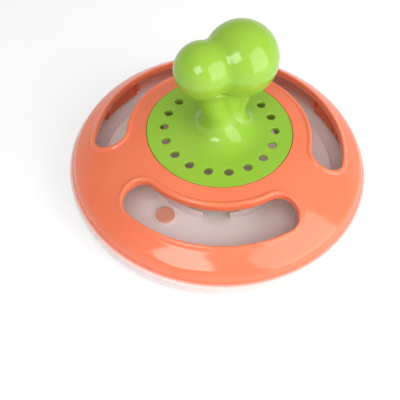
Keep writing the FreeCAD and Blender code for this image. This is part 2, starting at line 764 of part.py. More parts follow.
def flare_lines():
    """The flare's outer and inner section: start, end and centre of each arc."""
    outer_foot = (size["stem_foot"], size["lid_top"])
    outer_waist = (size["stem_waist"], stem_waist_height)
    inner_foot = (size["stem_foot"] - size["flare_wall"], lid_under)
    inner_waist = (size["stem_waist"] - size["flare_wall"], stem_waist_height)
    outer_curve = size["flare_curve"]
    inner_curve = outer_curve + size["flare_wall"]
    return {"outer": (outer_foot, outer_waist, flare_centre(outer_foot, outer_waist, outer_curve)),
            "inner": (inner_foot, inner_waist, flare_centre(inner_foot, inner_waist, inner_curve)),
            "inner_curve": inner_curve}


def column(name, foot, top, foot_radius, top_radius):
    """A tapering column. foot and top are its places along the lobes' line."""
    lean = doc.addObject("Part::Cone", name)
    rise = size["lobe_height"] - size["column_start"]
    across = top - foot
    bind(lean, "Radius1", foot_radius)
    bind(lean, "Radius2", top_radius)
    bind(lean, "Height", root(across * across + rise * rise))
    tilt = Size(math.degrees(math.atan2(across.number, rise.number)),
                "atan2(%s; %s)" % (across.text, rise.text))
    lean.Placement = FreeCAD.Placement(FreeCAD.Vector(), FreeCAD.Rotation(FreeCAD.Vector(0, 1, 0), 1))
    place = polar(foot, size["lobe_angle"])
    bind(lean, "Placement.Base.x", place[0])
    bind(lean, "Placement.Base.y", place[1])
    bind(lean, "Placement.Base.z", size["column_start"])
    bind(lean, "Placement.Rotation.Angle", tilt)
    hinge = size["lobe_angle"] + QUARTER_TURN
    bind(lean, "Placement.Rotation.Axis.x", cosine(hinge))
    bind(lean, "Placement.Rotation.Axis.y", sine(hinge))
    return lean


def stem_columns():
    return fuse("columns", [
        column("large_column", size["large_column_foot"], size["large_column_top"],
               size["large_column_radius"], size["large_column_tip"]),
        column("small_column", size["small_column_foot"], -size["small_column_top"],
               size["small_column_radius"], size["small_column_tip"]),
        column("web", size["web_foot"], size["web_top"], size["web_radius"], size["web_tip"])])


def lid(knob):
    lines = flare_lines()
    foot, waist, centre = lines["outer"]
    axis = as_size(0.0)
    disc = turned("lid_disc", [(axis, lid_under), (lid_radius, lid_under),
                               (lid_radius, size["lid_top"]), foot, waist,
                               (axis, stem_waist_height)], {3: (centre, -1)})
    stem = cut("stem", stem_columns(), knob)
    plug_outer = flange_radius - size["turn_gap"]
    plug_inner = plug_outer - size["plug_wall"]
    plug = turned("lid_plug", [(plug_inner, lug_under), (plug_outer, lug_under),
                               (plug_outer, size["lid_top"] - size["lid_wall"] / 2.0),
                               (plug_inner, size["lid_top"] - size["lid_wall"] / 2.0)])
    pieces = [disc, stem, plug]
    lug_outer = size["collar_radius"] - size["turn_gap"]
    lug_root = plug_outer - size["plug_wall"] / 2.0
    for number, middle in enumerate(WINDOW_ANGLES, start=1):
        pieces.append(turned("lug_%d" % number,
                             [(lug_root, lug_under), (lug_outer, lug_under),
                              (lug_outer, lug_top), (lug_root, lug_top)],
                             None, middle - size["lug_angle"] / 2.0, size["lug_angle"]))
    inner_foot, inner_waist, inner_centre = lines["inner"]
    below = lid_under - OVERSHOOT
    hollow = turned("stem_hollow", [(axis, below), (inner_foot[0], below), inner_foot, inner_waist,
                                    (axis, stem_waist_height)], {2: (inner_centre, -1)})
    holes = [hollow]
    for number in range(SCENT_HOLES):
        centre = polar(size["hole_circle"], size["hole_first"] + FULL_TURN / SCENT_HOLES * number)
        holes.append(pillar("scent_hole_%d" % (number + 1), centre, size["hole_diameter"] / 2.0,
                            lid_under - OVERSHOOT, size["lid_top"] + OVERSHOOT))
    holes.append(pillar("knob_screw_way", knob_screw_line(),
                        size["knob_screw_radius"] + size["screw_clear"],
                        stem_waist_height - OVERSHOOT, size["lobe_height"]))
    return cut("lid", fuse("lid_whole", pieces), fuse("lid_holes", holes))


def bone_knob(form):
    boss_bottom = size["lobe_height"] - size["large_lobe"]
    boss = pillar("knob_boss", knob_screw_line(), size["knob_boss"], boss_bottom,
                  boss_bottom + size["knob_boss_depth"])
    hollow = cut("knob_hollow", lobe_form("lobe_hollow", size["lobe_wall"]), boss)
    shell = cut("knob_shell", form, hollow)
    screw_tip = stem_waist_height + size["knob_screw_length"]
    way = pillar("knob_pilot", knob_screw_line(), size["knob_screw_radius"] + size["screw_clear"],
                 stem_waist_height, screw_tip + size["screw_clear"])
    return cut("bone_knob", shell, way)


def knob_screw():
    centre = knob_screw_line()
    under = stem_waist_height - size["head_rise"]
    shank = pillar("knob_shank", centre, size["knob_screw_radius"], under,
                   stem_waist_height + size["knob_screw_length"])
    head = pillar("knob_head", centre, size["knob_screw_head"], under, stem_waist_height)
    return fuse("knob_screw", [shank, head])


def stem_cap():
    inner_foot, inner_waist, centre = flare_lines()["inner"]
    curve = flare_lines()["inner_curve"]
    ring_top = lid_under + size["cap_ring_rise"]
    drop = ring_top - centre[1]
    ring_outer = centre[0] - root(curve * curve - drop * drop) - size["plug_fit"]
    axis = as_size(0.0)
    return turned_body("stem_cap", [
        (axis, lid_under - size["cap_wall"]), (size["cap_radius"], lid_under - size["cap_wall"]),
        (size["cap_radius"], lid_under), (ring_outer, lid_under), (ring_outer, ring_top),
        (ring_outer - size["cap_ring_wall"], ring_top), (ring_outer - size["cap_ring_wall"], lid_under),
        (axis, lid_under)])


def check_document():
    for thing in doc.Objects:
        faults = [state for state in thing.State if state in ("Invalid", "Error")]
        if faults:
            raise RuntimeError("%s is %s" % (thing.Name, ", ".join(faults)))


def write_nodes(nodes):
    os.makedirs("parts", exist_ok=True)
    for node in nodes:
        shape = node.Shape
        if shape.isNull() or not shape.isValid():
            raise RuntimeError("%s has no valid shape" % node.Label)
    for node in nodes:
        node.Shape.exportStep("parts/%s.step" % node.Label)
        box = node.Shape.BoundBox
        print("%-16s solids %2d volume %9.1f z %6.2f to %6.2f" % (
            node.Label, len(node.Shape.Solids), node.Shape.Volume, box.ZMin, box.ZMax))


def main():
    knob = lobe_form("knob_form", as_size(0.0))
    nodes = [top_shell(), base_bowl(), floor_tray(), ballast_ring(), ballast_screws(), tray_screws(),
             foot_ring(), lid_seal(), lid(knob), bone_knob(knob), knob_screw(), stem_cap()]
    nodes += screw_plugs()
    doc.recompute()
    check_document()
    write_nodes(nodes)


main()
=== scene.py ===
import math

import bmesh
import bpy
import numpy as np
from mathutils import Matrix, Vector


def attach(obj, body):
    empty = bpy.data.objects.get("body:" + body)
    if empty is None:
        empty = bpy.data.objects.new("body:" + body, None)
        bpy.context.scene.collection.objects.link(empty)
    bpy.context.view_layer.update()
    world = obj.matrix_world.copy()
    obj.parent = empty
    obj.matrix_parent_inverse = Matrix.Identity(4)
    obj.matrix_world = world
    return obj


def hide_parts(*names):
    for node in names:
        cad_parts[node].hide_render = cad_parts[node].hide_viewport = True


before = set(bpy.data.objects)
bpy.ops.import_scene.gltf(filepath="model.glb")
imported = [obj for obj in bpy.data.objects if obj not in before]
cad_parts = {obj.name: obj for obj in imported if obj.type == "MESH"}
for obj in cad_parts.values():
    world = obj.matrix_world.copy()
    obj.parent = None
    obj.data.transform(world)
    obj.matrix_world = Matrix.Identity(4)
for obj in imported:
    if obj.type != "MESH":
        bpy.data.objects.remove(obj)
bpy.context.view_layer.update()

bl_info = {
    "name": "Treat Dispensing Toy",
    "version": (1, 0, 0),
    "blender": (4, 5, 0),
    "location": "3D View > Sidebar > Treat Toy",
    "description": "Builds the shell, lid, bone handle and weighted bowl of a treat toy round its frame",
    "category": "Object",
}

MILLIMETRE = 0.001
WELD = 3e-6
WINDOW_MIDDLES = (-90.0, 30.0, 150.0)
SECTOR = 120.0
FULL_TURN = 360.0
FINE_RING = 192


# Properties

def length(name, description, millimetres):
    return bpy.props.FloatProperty(
        name=name, description=description, default=millimetres * MILLIMETRE,
        precision=5, subtype="DISTANCE", unit="LENGTH")


def angle(name, description, degrees):
    return bpy.props.FloatProperty(
        name=name, description=description, default=math.radians(degrees),
        subtype="ANGLE", unit="ROTATION")


def colour(name, description, red, green, blue):
    return bpy.props.FloatVectorProperty(
        name=name, description=description, default=(red, green, blue), size=3,
        min=0.0, max=1.0, subtype="COLOR")


class TREATTOY_PG_shell(bpy.types.PropertyGroup):
    edge_radius: length("Edge radius", "Lower edge of the shell", 97.3)
    rim_height: length("Rim height", "Plane where the shell meets the bowl", 24.0)
    crease_radius: length("Crease radius", "Where the dome starts to roll over", 93.5)
    crease_height: length("Crease height", "Height of that place", 32.6)
    dome_curve: length("Dome curve", "Radius of the dome's section", 100.0)
    edge_curve: length("Edge curve", "Radius of the rolled edge", 10.5)
    recess_radius: length("Recess radius", "Opening that takes the lid's disc", 47.2)
    recess_height: length("Recess height", "Upper edge of that opening", 51.4)
    wall: length("Wall", "Wall of the shell", 2.2)
    ledge_height: length("Ledge height", "Ledge that the lid's seal lies on", 47.5)
    collar_radius: length("Collar radius", "Inside of the collar under the ledge", 43.2)
    collar_wall: length("Collar wall", "Wall of the collar", 2.0)
    collar_bottom: length("Collar bottom", "Lower edge of the collar", 36.5)
    window_circle: length("Window circle", "Middle line of the windows", 70.6)
    window_reach: length("Window reach", "Half the width of a window", 10.6)
    window_sweep: angle("Window sweep", "From a window's middle to its round end", 36.9)
    bead_rise: length("Bead rise", "Height of the bead round a window", 1.3)


class TREATTOY_PG_lid(bpy.types.PropertyGroup):
    disc_radius: length("Disc radius", "Edge of the lid's disc", 46.9)
    face_height: length("Face height", "Height of the disc's face", 51.4)
    disc_wall: length("Disc wall", "Thickness of the disc", 2.6)
    hole_circle: length("Hole circle", "Circle of the scent holes", 35.75)
    hole_diameter: length("Hole diameter", "Scent hole", 5.6)
    hole_first: angle("First hole", "Direction of one scent hole", 4.5)
    column_start: length("Column start", "Height where the stem's columns start", 54.0)
    large_foot: length("Large column foot", "Axis to the large lobe's column there", 8.0)
    large_top: length("Large column top", "Axis to it at the lobes' height", 26.5)
    large_radius: length("Large column radius", "That column at its foot", 4.2)
    large_tip: length("Large column tip", "Its radius at the top", 4.8)
    small_foot: length("Small column foot", "Axis to the small lobe's column", 1.8)
    small_top: length("Small column top", "Axis to it at the lobes' height", 14.5)
    small_radius: length("Small column radius", "That column at its foot", 8.4)
    small_tip: length("Small column tip", "Its radius at the top", 8.3)
    web_radius: length("Web radius", "The web at its foot", 3.4)
    web_tip: length("Web tip", "Its radius at the top", 1.0)
    core_radius: length("Core radius", "The stem's narrowest place", 9.2)
    fork_blend: length("Fork blend", "Radius of the blend between the columns", 3.0)
    lobe_blend: length("Lobe blend", "Radius of the blend under the lobes", 6.0)
    flare_blend: length("Flare blend", "Radius of the flare under the columns", 18.0)


class TREATTOY_PG_bone(bpy.types.PropertyGroup):
    height: length("Height", "Height of the lobes' centres", 104.2)
    direction: angle("Direction", "Direction of the large lobe", 32.0)
    large_radius: length("Large lobe", "Radius of the large lobe", 22.0)
    large_offset: length("Large offset", "Axis to the large lobe's centre", 11.1)
    small_radius: length("Small lobe", "Radius of the small lobe", 16.5)
    small_offset: length("Small offset", "Axis to the small lobe's centre", 13.3)
    blend: length("Blend", "Radius of the blend between the lobes", 8.0)


class TREATTOY_PG_base(bpy.types.PropertyGroup):
    side_radius: length("Side radius", "Side of the bowl, the widest edge", 100.0)
    turn_radius: length("Turn radius", "Where the underside turns up", 83.5)
    turn_height: length("Turn height", "Height of that turn", 3.2)
    side_height: length("Side height", "Where the side becomes upright", 18.5)
    corner: length("Corner", "Radius of the turn's section", 16.0)
    wall: length("Wall", "Wall of the bowl", 2.6)
    land: length("Land", "Inside of the bowl's thick rim", 92.8)
    flat_radius: length("Flat radius", "Flat underside", 50.0)
    underside: length("Underside", "Bowl's underside above the ground", 0.8)
    floor_radius: length("Floor radius", "Edge of the raised floor", 81.0)
    floor_top: length("Floor top", "Height of the raised floor", 14.0)
    gate_radius: length("Gate radius", "Outside of the gate ring", 46.0)
    gate_top: length("Gate top", "Upper edge of the gate ring", 20.0)
    boss_circle: length("Boss circle", "Circle of the screw bosses", 55.3)
    gate_turn: angle("Gate turn", "From a window's middle to its gate", 5.0)
    gate_arc: angle("Gate arc", "Arc of a gate", 21.5)
    boss_radius: length("Boss radius", "Boss round a screw", 7.6)
    plug_radius: length("Plug radius", "Cap of a floor plug", 6.2)
    boss_offset: angle("Boss offset", "From a window's middle to its boss, clockwise", 32.0)


class TREATTOY_PG_colours(bpy.types.PropertyGroup):
    shell: colour("Shell", "Orange plastic", 0.95, 0.225, 0.11)
    shell_shade: colour("Shell, deeper", "Where the orange drifts", 0.93, 0.20, 0.09)
    green: colour("Green", "Lid and bone", 0.32, 0.56, 0.05)
    green_shade: colour("Green, deeper", "Where the green drifts", 0.29, 0.535, 0.04)
    milky: colour("Milky white", "Raised floor and bowl", 0.95, 0.88, 0.87)
    milky_shade: colour("Milky white, warmer", "Where the white drifts", 0.93, 0.85, 0.83)
    # Painted light: the pink that orange light from the shell casts on the bowl's upper edge.
    painted_edge_light: colour("Blush", "Bowl's upper edge under the shell", 0.92, 0.70, 0.66)
    # Painted light: the salmon that orange light through the shell casts inside the bowl.
    painted_inside_light: colour("Salmon", "Inside of the bowl under the shell", 0.94, 0.42, 0.33)
    plug: colour("Plugs", "Salmon plugs over the screws", 0.90, 0.42, 0.31)
    foot: colour("Foot", "Rubber foot ring", 0.62, 0.61, 0.59)
    seal: colour("Seal", "Silicone seal ring", 0.78, 0.77, 0.74)
    iron: colour("Iron", "Cast ballast ring", 0.13, 0.13, 0.135)
    zinc: colour("Zinc", "Plated screws", 0.58, 0.585, 0.60)
    floor: colour("Studio floor", "Pale floor", 0.80, 0.80, 0.80)


class TREATTOY_PG_studio(bpy.types.PropertyGroup):
    world_level: bpy.props.FloatProperty(
        name="World level", description="Strength of the white surroundings", default=0.48)
    overhead_level: bpy.props.FloatProperty(
        name="Overhead level", description="How bright the room looks overhead in the gloss", default=0.30)
    right_level: bpy.props.FloatProperty(
        name="Right softbox", description="Radiance of the large softbox", default=2.75)
    left_level: bpy.props.FloatProperty(
        name="Left softbox", description="Radiance of the smaller square softbox", default=5.5)
    fill_level: bpy.props.FloatProperty(
        name="Fill light", description="Radiance of the soft light from the front", default=4.0)
    floor_glow: bpy.props.FloatProperty(
        name="Floor glow", description="Lifts the floor to white for the camera", default=0.30)


class TREATTOY_PG_toy(bpy.types.PropertyGroup):
    shell: bpy.props.PointerProperty(type=TREATTOY_PG_shell, name="Shell", description="Shell sizes")
    lid: bpy.props.PointerProperty(type=TREATTOY_PG_lid, name="Lid", description="Lid sizes")
    bone: bpy.props.PointerProperty(type=TREATTOY_PG_bone, name="Bone", description="Bone sizes")
    base: bpy.props.PointerProperty(type=TREATTOY_PG_base, name="Base", description="Base sizes")
    colours: bpy.props.PointerProperty(
        type=TREATTOY_PG_colours, name="Colours", description="Colours of the finishes")
    studio: bpy.props.PointerProperty(
        type=TREATTOY_PG_studio, name="Studio", description="Light levels")


class Millimetres:
    """Reads the lengths of a property group in millimetres."""

    def __init__(self, group):
        self.group = group

    def __getattr__(self, name):
        return getattr(self.group, name) / MILLIMETRE


def toy():
    return bpy.context.scene.treat_toy


def sizes(part):
    return Millimetres(getattr(toy(), part))


def degrees_of(part, name):
    return math.degrees(getattr(getattr(toy(), part), name))


# Outlines

def along(start, end, count):
    return [tuple(point) for point in np.linspace(start, end, count + 1)]


def arc_points(start, end, radius, turn, count):
    """Short arc from start to end, counter-clockwise where turn is 1."""
    start, end = np.array(start, float), np.array(end, float)
    chord = end - start
    span = np.hypot(*chord)
    reach = math.sqrt(max(radius ** 2 - span ** 2 / 4, 0.0)) * turn
    centre = (start + end) / 2 + np.array([-chord[1], chord[0]]) / span * reach
    first = math.atan2(*(start - centre)[::-1])
    sweep = 2 * math.asin(min(1.0, span / 2 / radius)) * turn
    angles = first + sweep * np.linspace(0, 1, count + 1)
    return [(centre[0] + radius * math.cos(a), centre[1] + radius * math.sin(a)) for a in angles]


def rounded(corners, closed=True, steps=5):
    """Corners as (radius, height, rounding), each rounded off by its own arc."""
    outline = []
    count = len(corners)
    for number, corner in enumerate(corners):
        point = np.array(corner[:2], float)
        rounding = corner[2] if len(corner) > 2 else 0.0
        at_end = not closed and number in (0, count - 1)
        if rounding <= 0 or at_end:
            outline.append(tuple(point))
            continue
        back = np.array(corners[number - 1][:2], float) - point
        ahead = np.array(corners[(number + 1) % count][:2], float) - point
        back_length, ahead_length = np.hypot(*back), np.hypot(*ahead)
        back, ahead = back / back_length, ahead / ahead_length
        half = math.acos(max(-1.0, min(1.0, float(back @ ahead)))) / 2
        if half > math.radians(88):
            outline.append(tuple(point))
            continue
        trim = min(rounding / math.tan(half), 0.48 * back_length, 0.48 * ahead_length)
        radius = trim * math.tan(half)
        middle = (back + ahead) / np.hypot(*(back + ahead))
        centre = point + middle * radius / math.sin(half)
        first = point + back * trim - centre
        last = point + ahead * trim - centre
        turn = math.atan2(first[0] * last[1] - first[1] * last[0], float(first @ last))
        for step in range(steps + 1):
            a = turn * step / steps
            outline.append(tuple(centre + np.array([
                first[0] * math.cos(a) - first[1] * math.sin(a),
                first[0] * math.sin(a) + first[1] * math.cos(a)])))
    return outline


def around(radius, degrees, height):
    """Points from radius, direction and height, in the shape that these share."""
    a = np.radians(degrees)
    return np.stack(np.broadcast_arrays(radius * np.cos(a), radius * np.sin(a), height), -1)


def ring_angles(count=FINE_RING):
    return np.arange(count) * (FULL_TURN / count)


# Meshes

class Skin:
    """Collects grids of points in millimetres and welds them into one mesh."""

    def __init__(self):
        self.points = []
        self.faces = []

    def grid(self, rows, close_rows=False, close_columns=False):
        """rows is an array of rows by columns by 3."""
        rows = np.asarray(rows, float)
        high, wide = rows.shape[:2]
        first = len(self.points)
        self.points += [tuple(point) for point in rows.reshape(-1, 3)]
        for row in range(high if close_rows else high - 1):
            low, up = row * wide, (row + 1) % high * wide
            for column in range(wide if close_columns else wide - 1):
                side = (column + 1) % wide
                self.faces.append((first + low + column, first + low + side,
                                   first + up + side, first + up + column))

    def face(self, points):
        first = len(self.points)
        self.points += [tuple(point) for point in points]
        self.faces.append(tuple(range(first, first + len(points))))

    def turned(self, outline, angles=None, closed=True, centre=(0.0, 0.0)):
        """Turns an outline of (radius, height) about an upright line."""
        angles = ring_angles() if angles is None else angles
        outline = np.asarray(outline, float)
        rows = around(outline[:, 0], angles[:, None], outline[:, 1])
        self.grid(rows + np.array([*centre, 0.0]), close_rows=True, close_columns=closed)

    def sector(self, outline, first, sweep, pitch=2.0):
        """Part of a turned ring, closed at both ends."""
        outline = np.asarray(outline, float)
        count = max(2, int(math.ceil(sweep / pitch)))
        angles = np.linspace(first, first + sweep, count + 1)
        rows = around(outline[:, 0], angles[:, None], outline[:, 1])
        self.grid(rows, close_columns=True)
        self.face(rows[0][::-1])
        self.face(rows[-1])

    def piece(self, name, bevel=0.0, sharp=40.0):
        """The welded mesh as an object, shaded smooth, with soft outer edges."""
        work = bmesh.new()
        made = [work.verts.new([value * MILLIMETRE for value in point]) for point in self.points]
        for face in self.faces:
            corners = []
            for index in face:
                if made[index] not in corners:
                    corners.append(made[index])
            if len(corners) > 2:
                try:
                    work.faces.new(corners)
                except ValueError:
                    continue
        bmesh.ops.remove_doubles(work, verts=work.verts, dist=WELD)
        bmesh.ops.dissolve_degenerate(work, edges=work.edges, dist=WELD / 3)
        loose = [vert for vert in work.verts if not vert.link_faces]
        bmesh.ops.delete(work, geom=loose, context="VERTS")
        bmesh.ops.recalc_face_normals(work, faces=work.faces)
        open_edges = sum(1 for edge in work.edges if len(edge.link_faces) != 2)
        mesh = bpy.data.meshes.new(name)
        work.to_mesh(mesh)
        work.free()
        print("%s: %d faces, %d open or shared edges" % (name, len(mesh.polygons), open_edges))
        mesh.shade_smooth()
        mesh.set_sharp_from_angle(angle=math.radians(sharp))
        thing = bpy.data.objects.new(name, mesh)
        bpy.context.scene.collection.objects.link(thing)
        if bevel > 0:
            soften = thing.modifiers.new("Soft edges", "BEVEL")
            soften.width = bevel * MILLIMETRE
            soften.segments = 2
            soften.limit_method = "ANGLE"
            soften.angle_limit = math.radians(sharp)
        weigh = thing.modifiers.new("Even shading", "WEIGHTED_NORMAL")
        weigh.keep_sharp = True
        return thing


def settle(thing, body, slot, finish, *nodes):
    """Puts a finished piece on its body, in place of its CAD nodes."""
    thing.data.materials.clear()
    thing.data.materials.append(finish)
    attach(thing, body)
    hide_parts(*nodes)


# Finishes

SCUFF_SPINS = (0.4, 1.7, 2.6)
SCUFF_STRETCH = (1.0, 24.0, 6.0)
SCUFF_SCALE = 60.0
SCUFF_EDGES = (0.66, 0.72)
SCUFF_PATCHES = (0.45, 0.65)
CLOUD_EDGES = (0.35, 0.68)
SMEAR_SCALE = 3.1
CAST_PATCHES = (0.35, 0.7)
CAST_UNEVEN = 0.3
GLOSSY = {"ripple": 0.012, "scuffs": 0.10}
MILKY = {"gloss": 0.20, "milky": 0.2, "reach": 1.0, "ripple": 0.02, "scuffs": 0.15}
DEFAULT_GLOW = (1.0, 0.75, 0.7)
PLASTIC_INDEX = 1.5
# Where the bowl's painted orange light from the shell lies: depth into its wall, then heights inside and at
# its edge.
PAINTED_INSIDE_DEPTHS = (1.2, 1.8)
PAINTED_INSIDE_HEIGHTS = (9.0, 15.0)
PAINTED_EDGE_HEIGHTS = (12.0, 24.0)


def wire(tree, source, target):
    tree.links.new(source, target)


def new_group(name, inputs, outputs):
    found = bpy.data.node_groups.get(name)
    if found:
        return found, None, None
    tree = bpy.data.node_groups.new(name, "ShaderNodeTree")
    for label, kind, value in inputs:
        socket = tree.interface.new_socket(name=label, in_out="INPUT", socket_type=kind)
        socket.default_value = value
    for label, kind in outputs:
        tree.interface.new_socket(name=label, in_out="OUTPUT", socket_type=kind)
    return tree, tree.nodes.new("NodeGroupInput"), tree.nodes.new("NodeGroupOutput")


def noise(tree, place, scale, detail, roughness=0.5):
    node = tree.nodes.new("ShaderNodeTexNoise")
    node.inputs["Detail"].default_value = detail
    node.inputs["Roughness"].default_value = roughness
    wire(tree, place, node.inputs["Vector"])
    if isinstance(scale, (int, float)):
        node.inputs["Scale"].default_value = scale
    else:
        wire(tree, scale, node.inputs["Scale"])
    return node.outputs["Fac"]


def sums(tree, operation, first, second, clamp=False):
    node = tree.nodes.new("ShaderNodeMath")
    node.operation = operation
    node.use_clamp = clamp
    for socket, value in zip(node.inputs, (first, second)):
        if isinstance(value, (int, float)):
            socket.default_value = value
        else:
            wire(tree, value, socket)
    return node.outputs["Value"]


def ramp(tree, value, low, high):
    """Runs from 0 to 1 as value goes from low to high."""
    node = tree.nodes.new("ShaderNodeMapRange")
    node.inputs["From Min"].default_value = low
    node.inputs["From Max"].default_value = high
    wire(tree, value, node.inputs["Value"])
    return node.outputs["Result"]


def blend_colours(tree, share, first, second):
    node = tree.nodes.new("ShaderNodeMix")
    node.data_type = "RGBA"
    wire(tree, share, node.inputs["Factor"])
    for socket, value in ((node.inputs[6], first), (node.inputs[7], second)):
        if isinstance(value, tuple):
            socket.default_value = value
        else:
            wire(tree, value, socket)
    return node.outputs[2]


def moulded_skin():
    """Colour that drifts in soft clouds, uneven gloss and the slight ripple of moulded plastic."""
    tree, given, result = new_group("Moulded skin", [
        ("Colour", "NodeSocketColor", (0.8, 0.8, 0.8, 1.0)),
        ("Deeper", "NodeSocketColor", (0.7, 0.7, 0.7, 1.0)),
        ("Cloud scale", "NodeSocketFloat", 22.0),
        ("Gloss", "NodeSocketFloat", 0.14),
        ("Gloss drift", "NodeSocketFloat", 0.06),
        ("Ripple scale", "NodeSocketFloat", 140.0),
        ("Grain scale", "NodeSocketFloat", 1500.0),
        ("Grain share", "NodeSocketFloat", 0.15),
    ], [("Colour", "NodeSocketColor"), ("Roughness", "NodeSocketFloat"), ("Height", "NodeSocketFloat")])
    if given is None:
        return tree
    place = tree.nodes.new("ShaderNodeTexCoord").outputs["Object"]
    clouds = ramp(tree, noise(tree, place, given.outputs["Cloud scale"], 3.0), *CLOUD_EDGES)
    wire(tree, blend_colours(tree, clouds, given.outputs["Colour"], given.outputs["Deeper"]),
         result.inputs["Colour"])
    smear_scale = sums(tree, "MULTIPLY", given.outputs["Cloud scale"], SMEAR_SCALE)
    smears = noise(tree, place, smear_scale, 4.0, 0.6)
    drift = sums(tree, "MULTIPLY", sums(tree, "SUBTRACT", smears, 0.5), given.outputs["Gloss drift"])
    wire(tree, sums(tree, "ADD", given.outputs["Gloss"], drift, True), result.inputs["Roughness"])
    ripple = noise(tree, place, given.outputs["Ripple scale"], 1.5)
    grain = sums(tree, "MULTIPLY", noise(tree, place, given.outputs["Grain scale"], 2.0),
                 given.outputs["Grain share"])
    wire(tree, sums(tree, "ADD", ripple, grain), result.inputs["Height"])
    return tree


def fine_scuffs():
    """Short hairlines and dull spots, as handling leaves on plastic and rubber."""
    tree, given, result = new_group("Fine scuffs", [
        ("Scuff scale", "NodeSocketFloat", 60.0),
        ("Share", "NodeSocketFloat", 0.3),
    ], [("Mask", "NodeSocketFloat")])
    if given is None:
        return tree
    place = tree.nodes.new("ShaderNodeTexCoord").outputs["Object"]
    total = None
    for number, spin in enumerate(SCUFF_SPINS):
        mapping = tree.nodes.new("ShaderNodeMapping")
        mapping.inputs["Rotation"].default_value = (spin * 0.7, spin * 0.3, spin)
        mapping.inputs["Scale"].default_value = SCUFF_STRETCH
        mapping.inputs["Location"].default_value = (number * 3.1, number * 1.7, 0.0)
        wire(tree, place, mapping.inputs["Vector"])
        lines = ramp(tree, noise(tree, mapping.outputs["Vector"], given.outputs["Scuff scale"], 2.0),
                     *SCUFF_EDGES)
        total = lines if total is None else sums(tree, "MAXIMUM", total, lines)
    patches = ramp(tree, noise(tree, place, 35.0, 2.0), *SCUFF_PATCHES)
    wire(tree, sums(tree, "MULTIPLY", sums(tree, "MULTIPLY", total, patches), given.outputs["Share"]),
         result.inputs["Mask"])
    return tree


def cast_grain():
    """The pitted skin of sand-cast metal or matte rubber."""
    tree, given, result = new_group("Cast grain", [
        ("Colour", "NodeSocketColor", (0.2, 0.2, 0.2, 1.0)),
        ("Deeper", "NodeSocketColor", (0.1, 0.1, 0.1, 1.0)),
        ("Grain scale", "NodeSocketFloat", 420.0),
        ("Roughness", "NodeSocketFloat", 0.6),
    ], [("Colour", "NodeSocketColor"), ("Roughness", "NodeSocketFloat"), ("Height", "NodeSocketFloat")])
    if given is None:
        return tree
    place = tree.nodes.new("ShaderNodeTexCoord").outputs["Object"]
    grain = noise(tree, place, given.outputs["Grain scale"], 6.0, 0.65)
    patches = ramp(tree, noise(tree, place, 48.0, 4.0), *CAST_PATCHES)
    wire(tree, blend_colours(tree, patches, given.outputs["Colour"], given.outputs["Deeper"]),
         result.inputs["Colour"])
    uneven = sums(tree, "MULTIPLY", sums(tree, "SUBTRACT", grain, 0.5), CAST_UNEVEN)
    wire(tree, sums(tree, "ADD", given.outputs["Roughness"], uneven, True), result.inputs["Roughness"])
    wire(tree, grain, result.inputs["Height"])
    return tree


def place_group(tree, group, values):
    node = tree.nodes.new("ShaderNodeGroup")
    node.node_tree = group
    for label, value in values.items():
        if isinstance(value, (int, float)):
            node.inputs[label].default_value = value
        else:
            node.inputs[label].default_value = (*value, 1.0)
    return node


def new_finish(name):
    material = bpy.data.materials.new(name)
    material.use_nodes = True
    tree = material.node_tree
    shader = tree.nodes["Principled BSDF"]
    return material, tree, shader


def add_bump(tree, shader, height, strength, depth):
    bump = tree.nodes.new("ShaderNodeBump")
    bump.inputs["Strength"].default_value = strength
    bump.inputs["Distance"].default_value = depth * MILLIMETRE
    wire(tree, height, bump.inputs["Height"])
    wire(tree, bump.outputs["Normal"], shader.inputs["Normal"])


def plastic(name, main, deeper, gloss, drift=0.06, cloud=22.0, ripple=0.02, milky=0.0, glow=None,
            reach=2.5, scuffs=0.0):
    """Moulded plastic. gloss is its roughness, milky how far light runs inside it."""
    found = bpy.data.materials.get(name)
    if found:
        return found
    material, tree, shader = new_finish(name)
    skin = place_group(tree, moulded_skin(), {
        "Colour": main, "Deeper": deeper, "Cloud scale": cloud, "Gloss": gloss, "Gloss drift": drift})
    wire(tree, skin.outputs["Colour"], shader.inputs["Base Color"])
    roughness = skin.outputs["Roughness"]
    if scuffs > 0:
        marks = place_group(tree, fine_scuffs(), {"Scuff scale": SCUFF_SCALE, "Share": scuffs})
        roughness = sums(tree, "ADD", roughness, marks.outputs["Mask"], True)
    wire(tree, roughness, shader.inputs["Roughness"])
    shader.inputs["IOR"].default_value = PLASTIC_INDEX
    if milky > 0:
        shader.inputs["Subsurface Weight"].default_value = milky
        shader.inputs["Subsurface Radius"].default_value = glow or DEFAULT_GLOW
        shader.inputs["Subsurface Scale"].default_value = reach * MILLIMETRE
    add_bump(tree, shader, skin.outputs["Height"], ripple, 1.0)
    return material


def orange_plastic():
    colours = toy().colours
    return plastic("Orange plastic", colours.shell, colours.shell_shade, 0.11, **GLOSSY)


def green_plastic():
    colours = toy().colours
    return plastic("Green plastic", colours.green, colours.green_shade, 0.12, **GLOSSY)


def milky_plastic():
    colours = toy().colours
    return plastic("Milky plastic", colours.milky, colours.milky_shade, **MILKY)


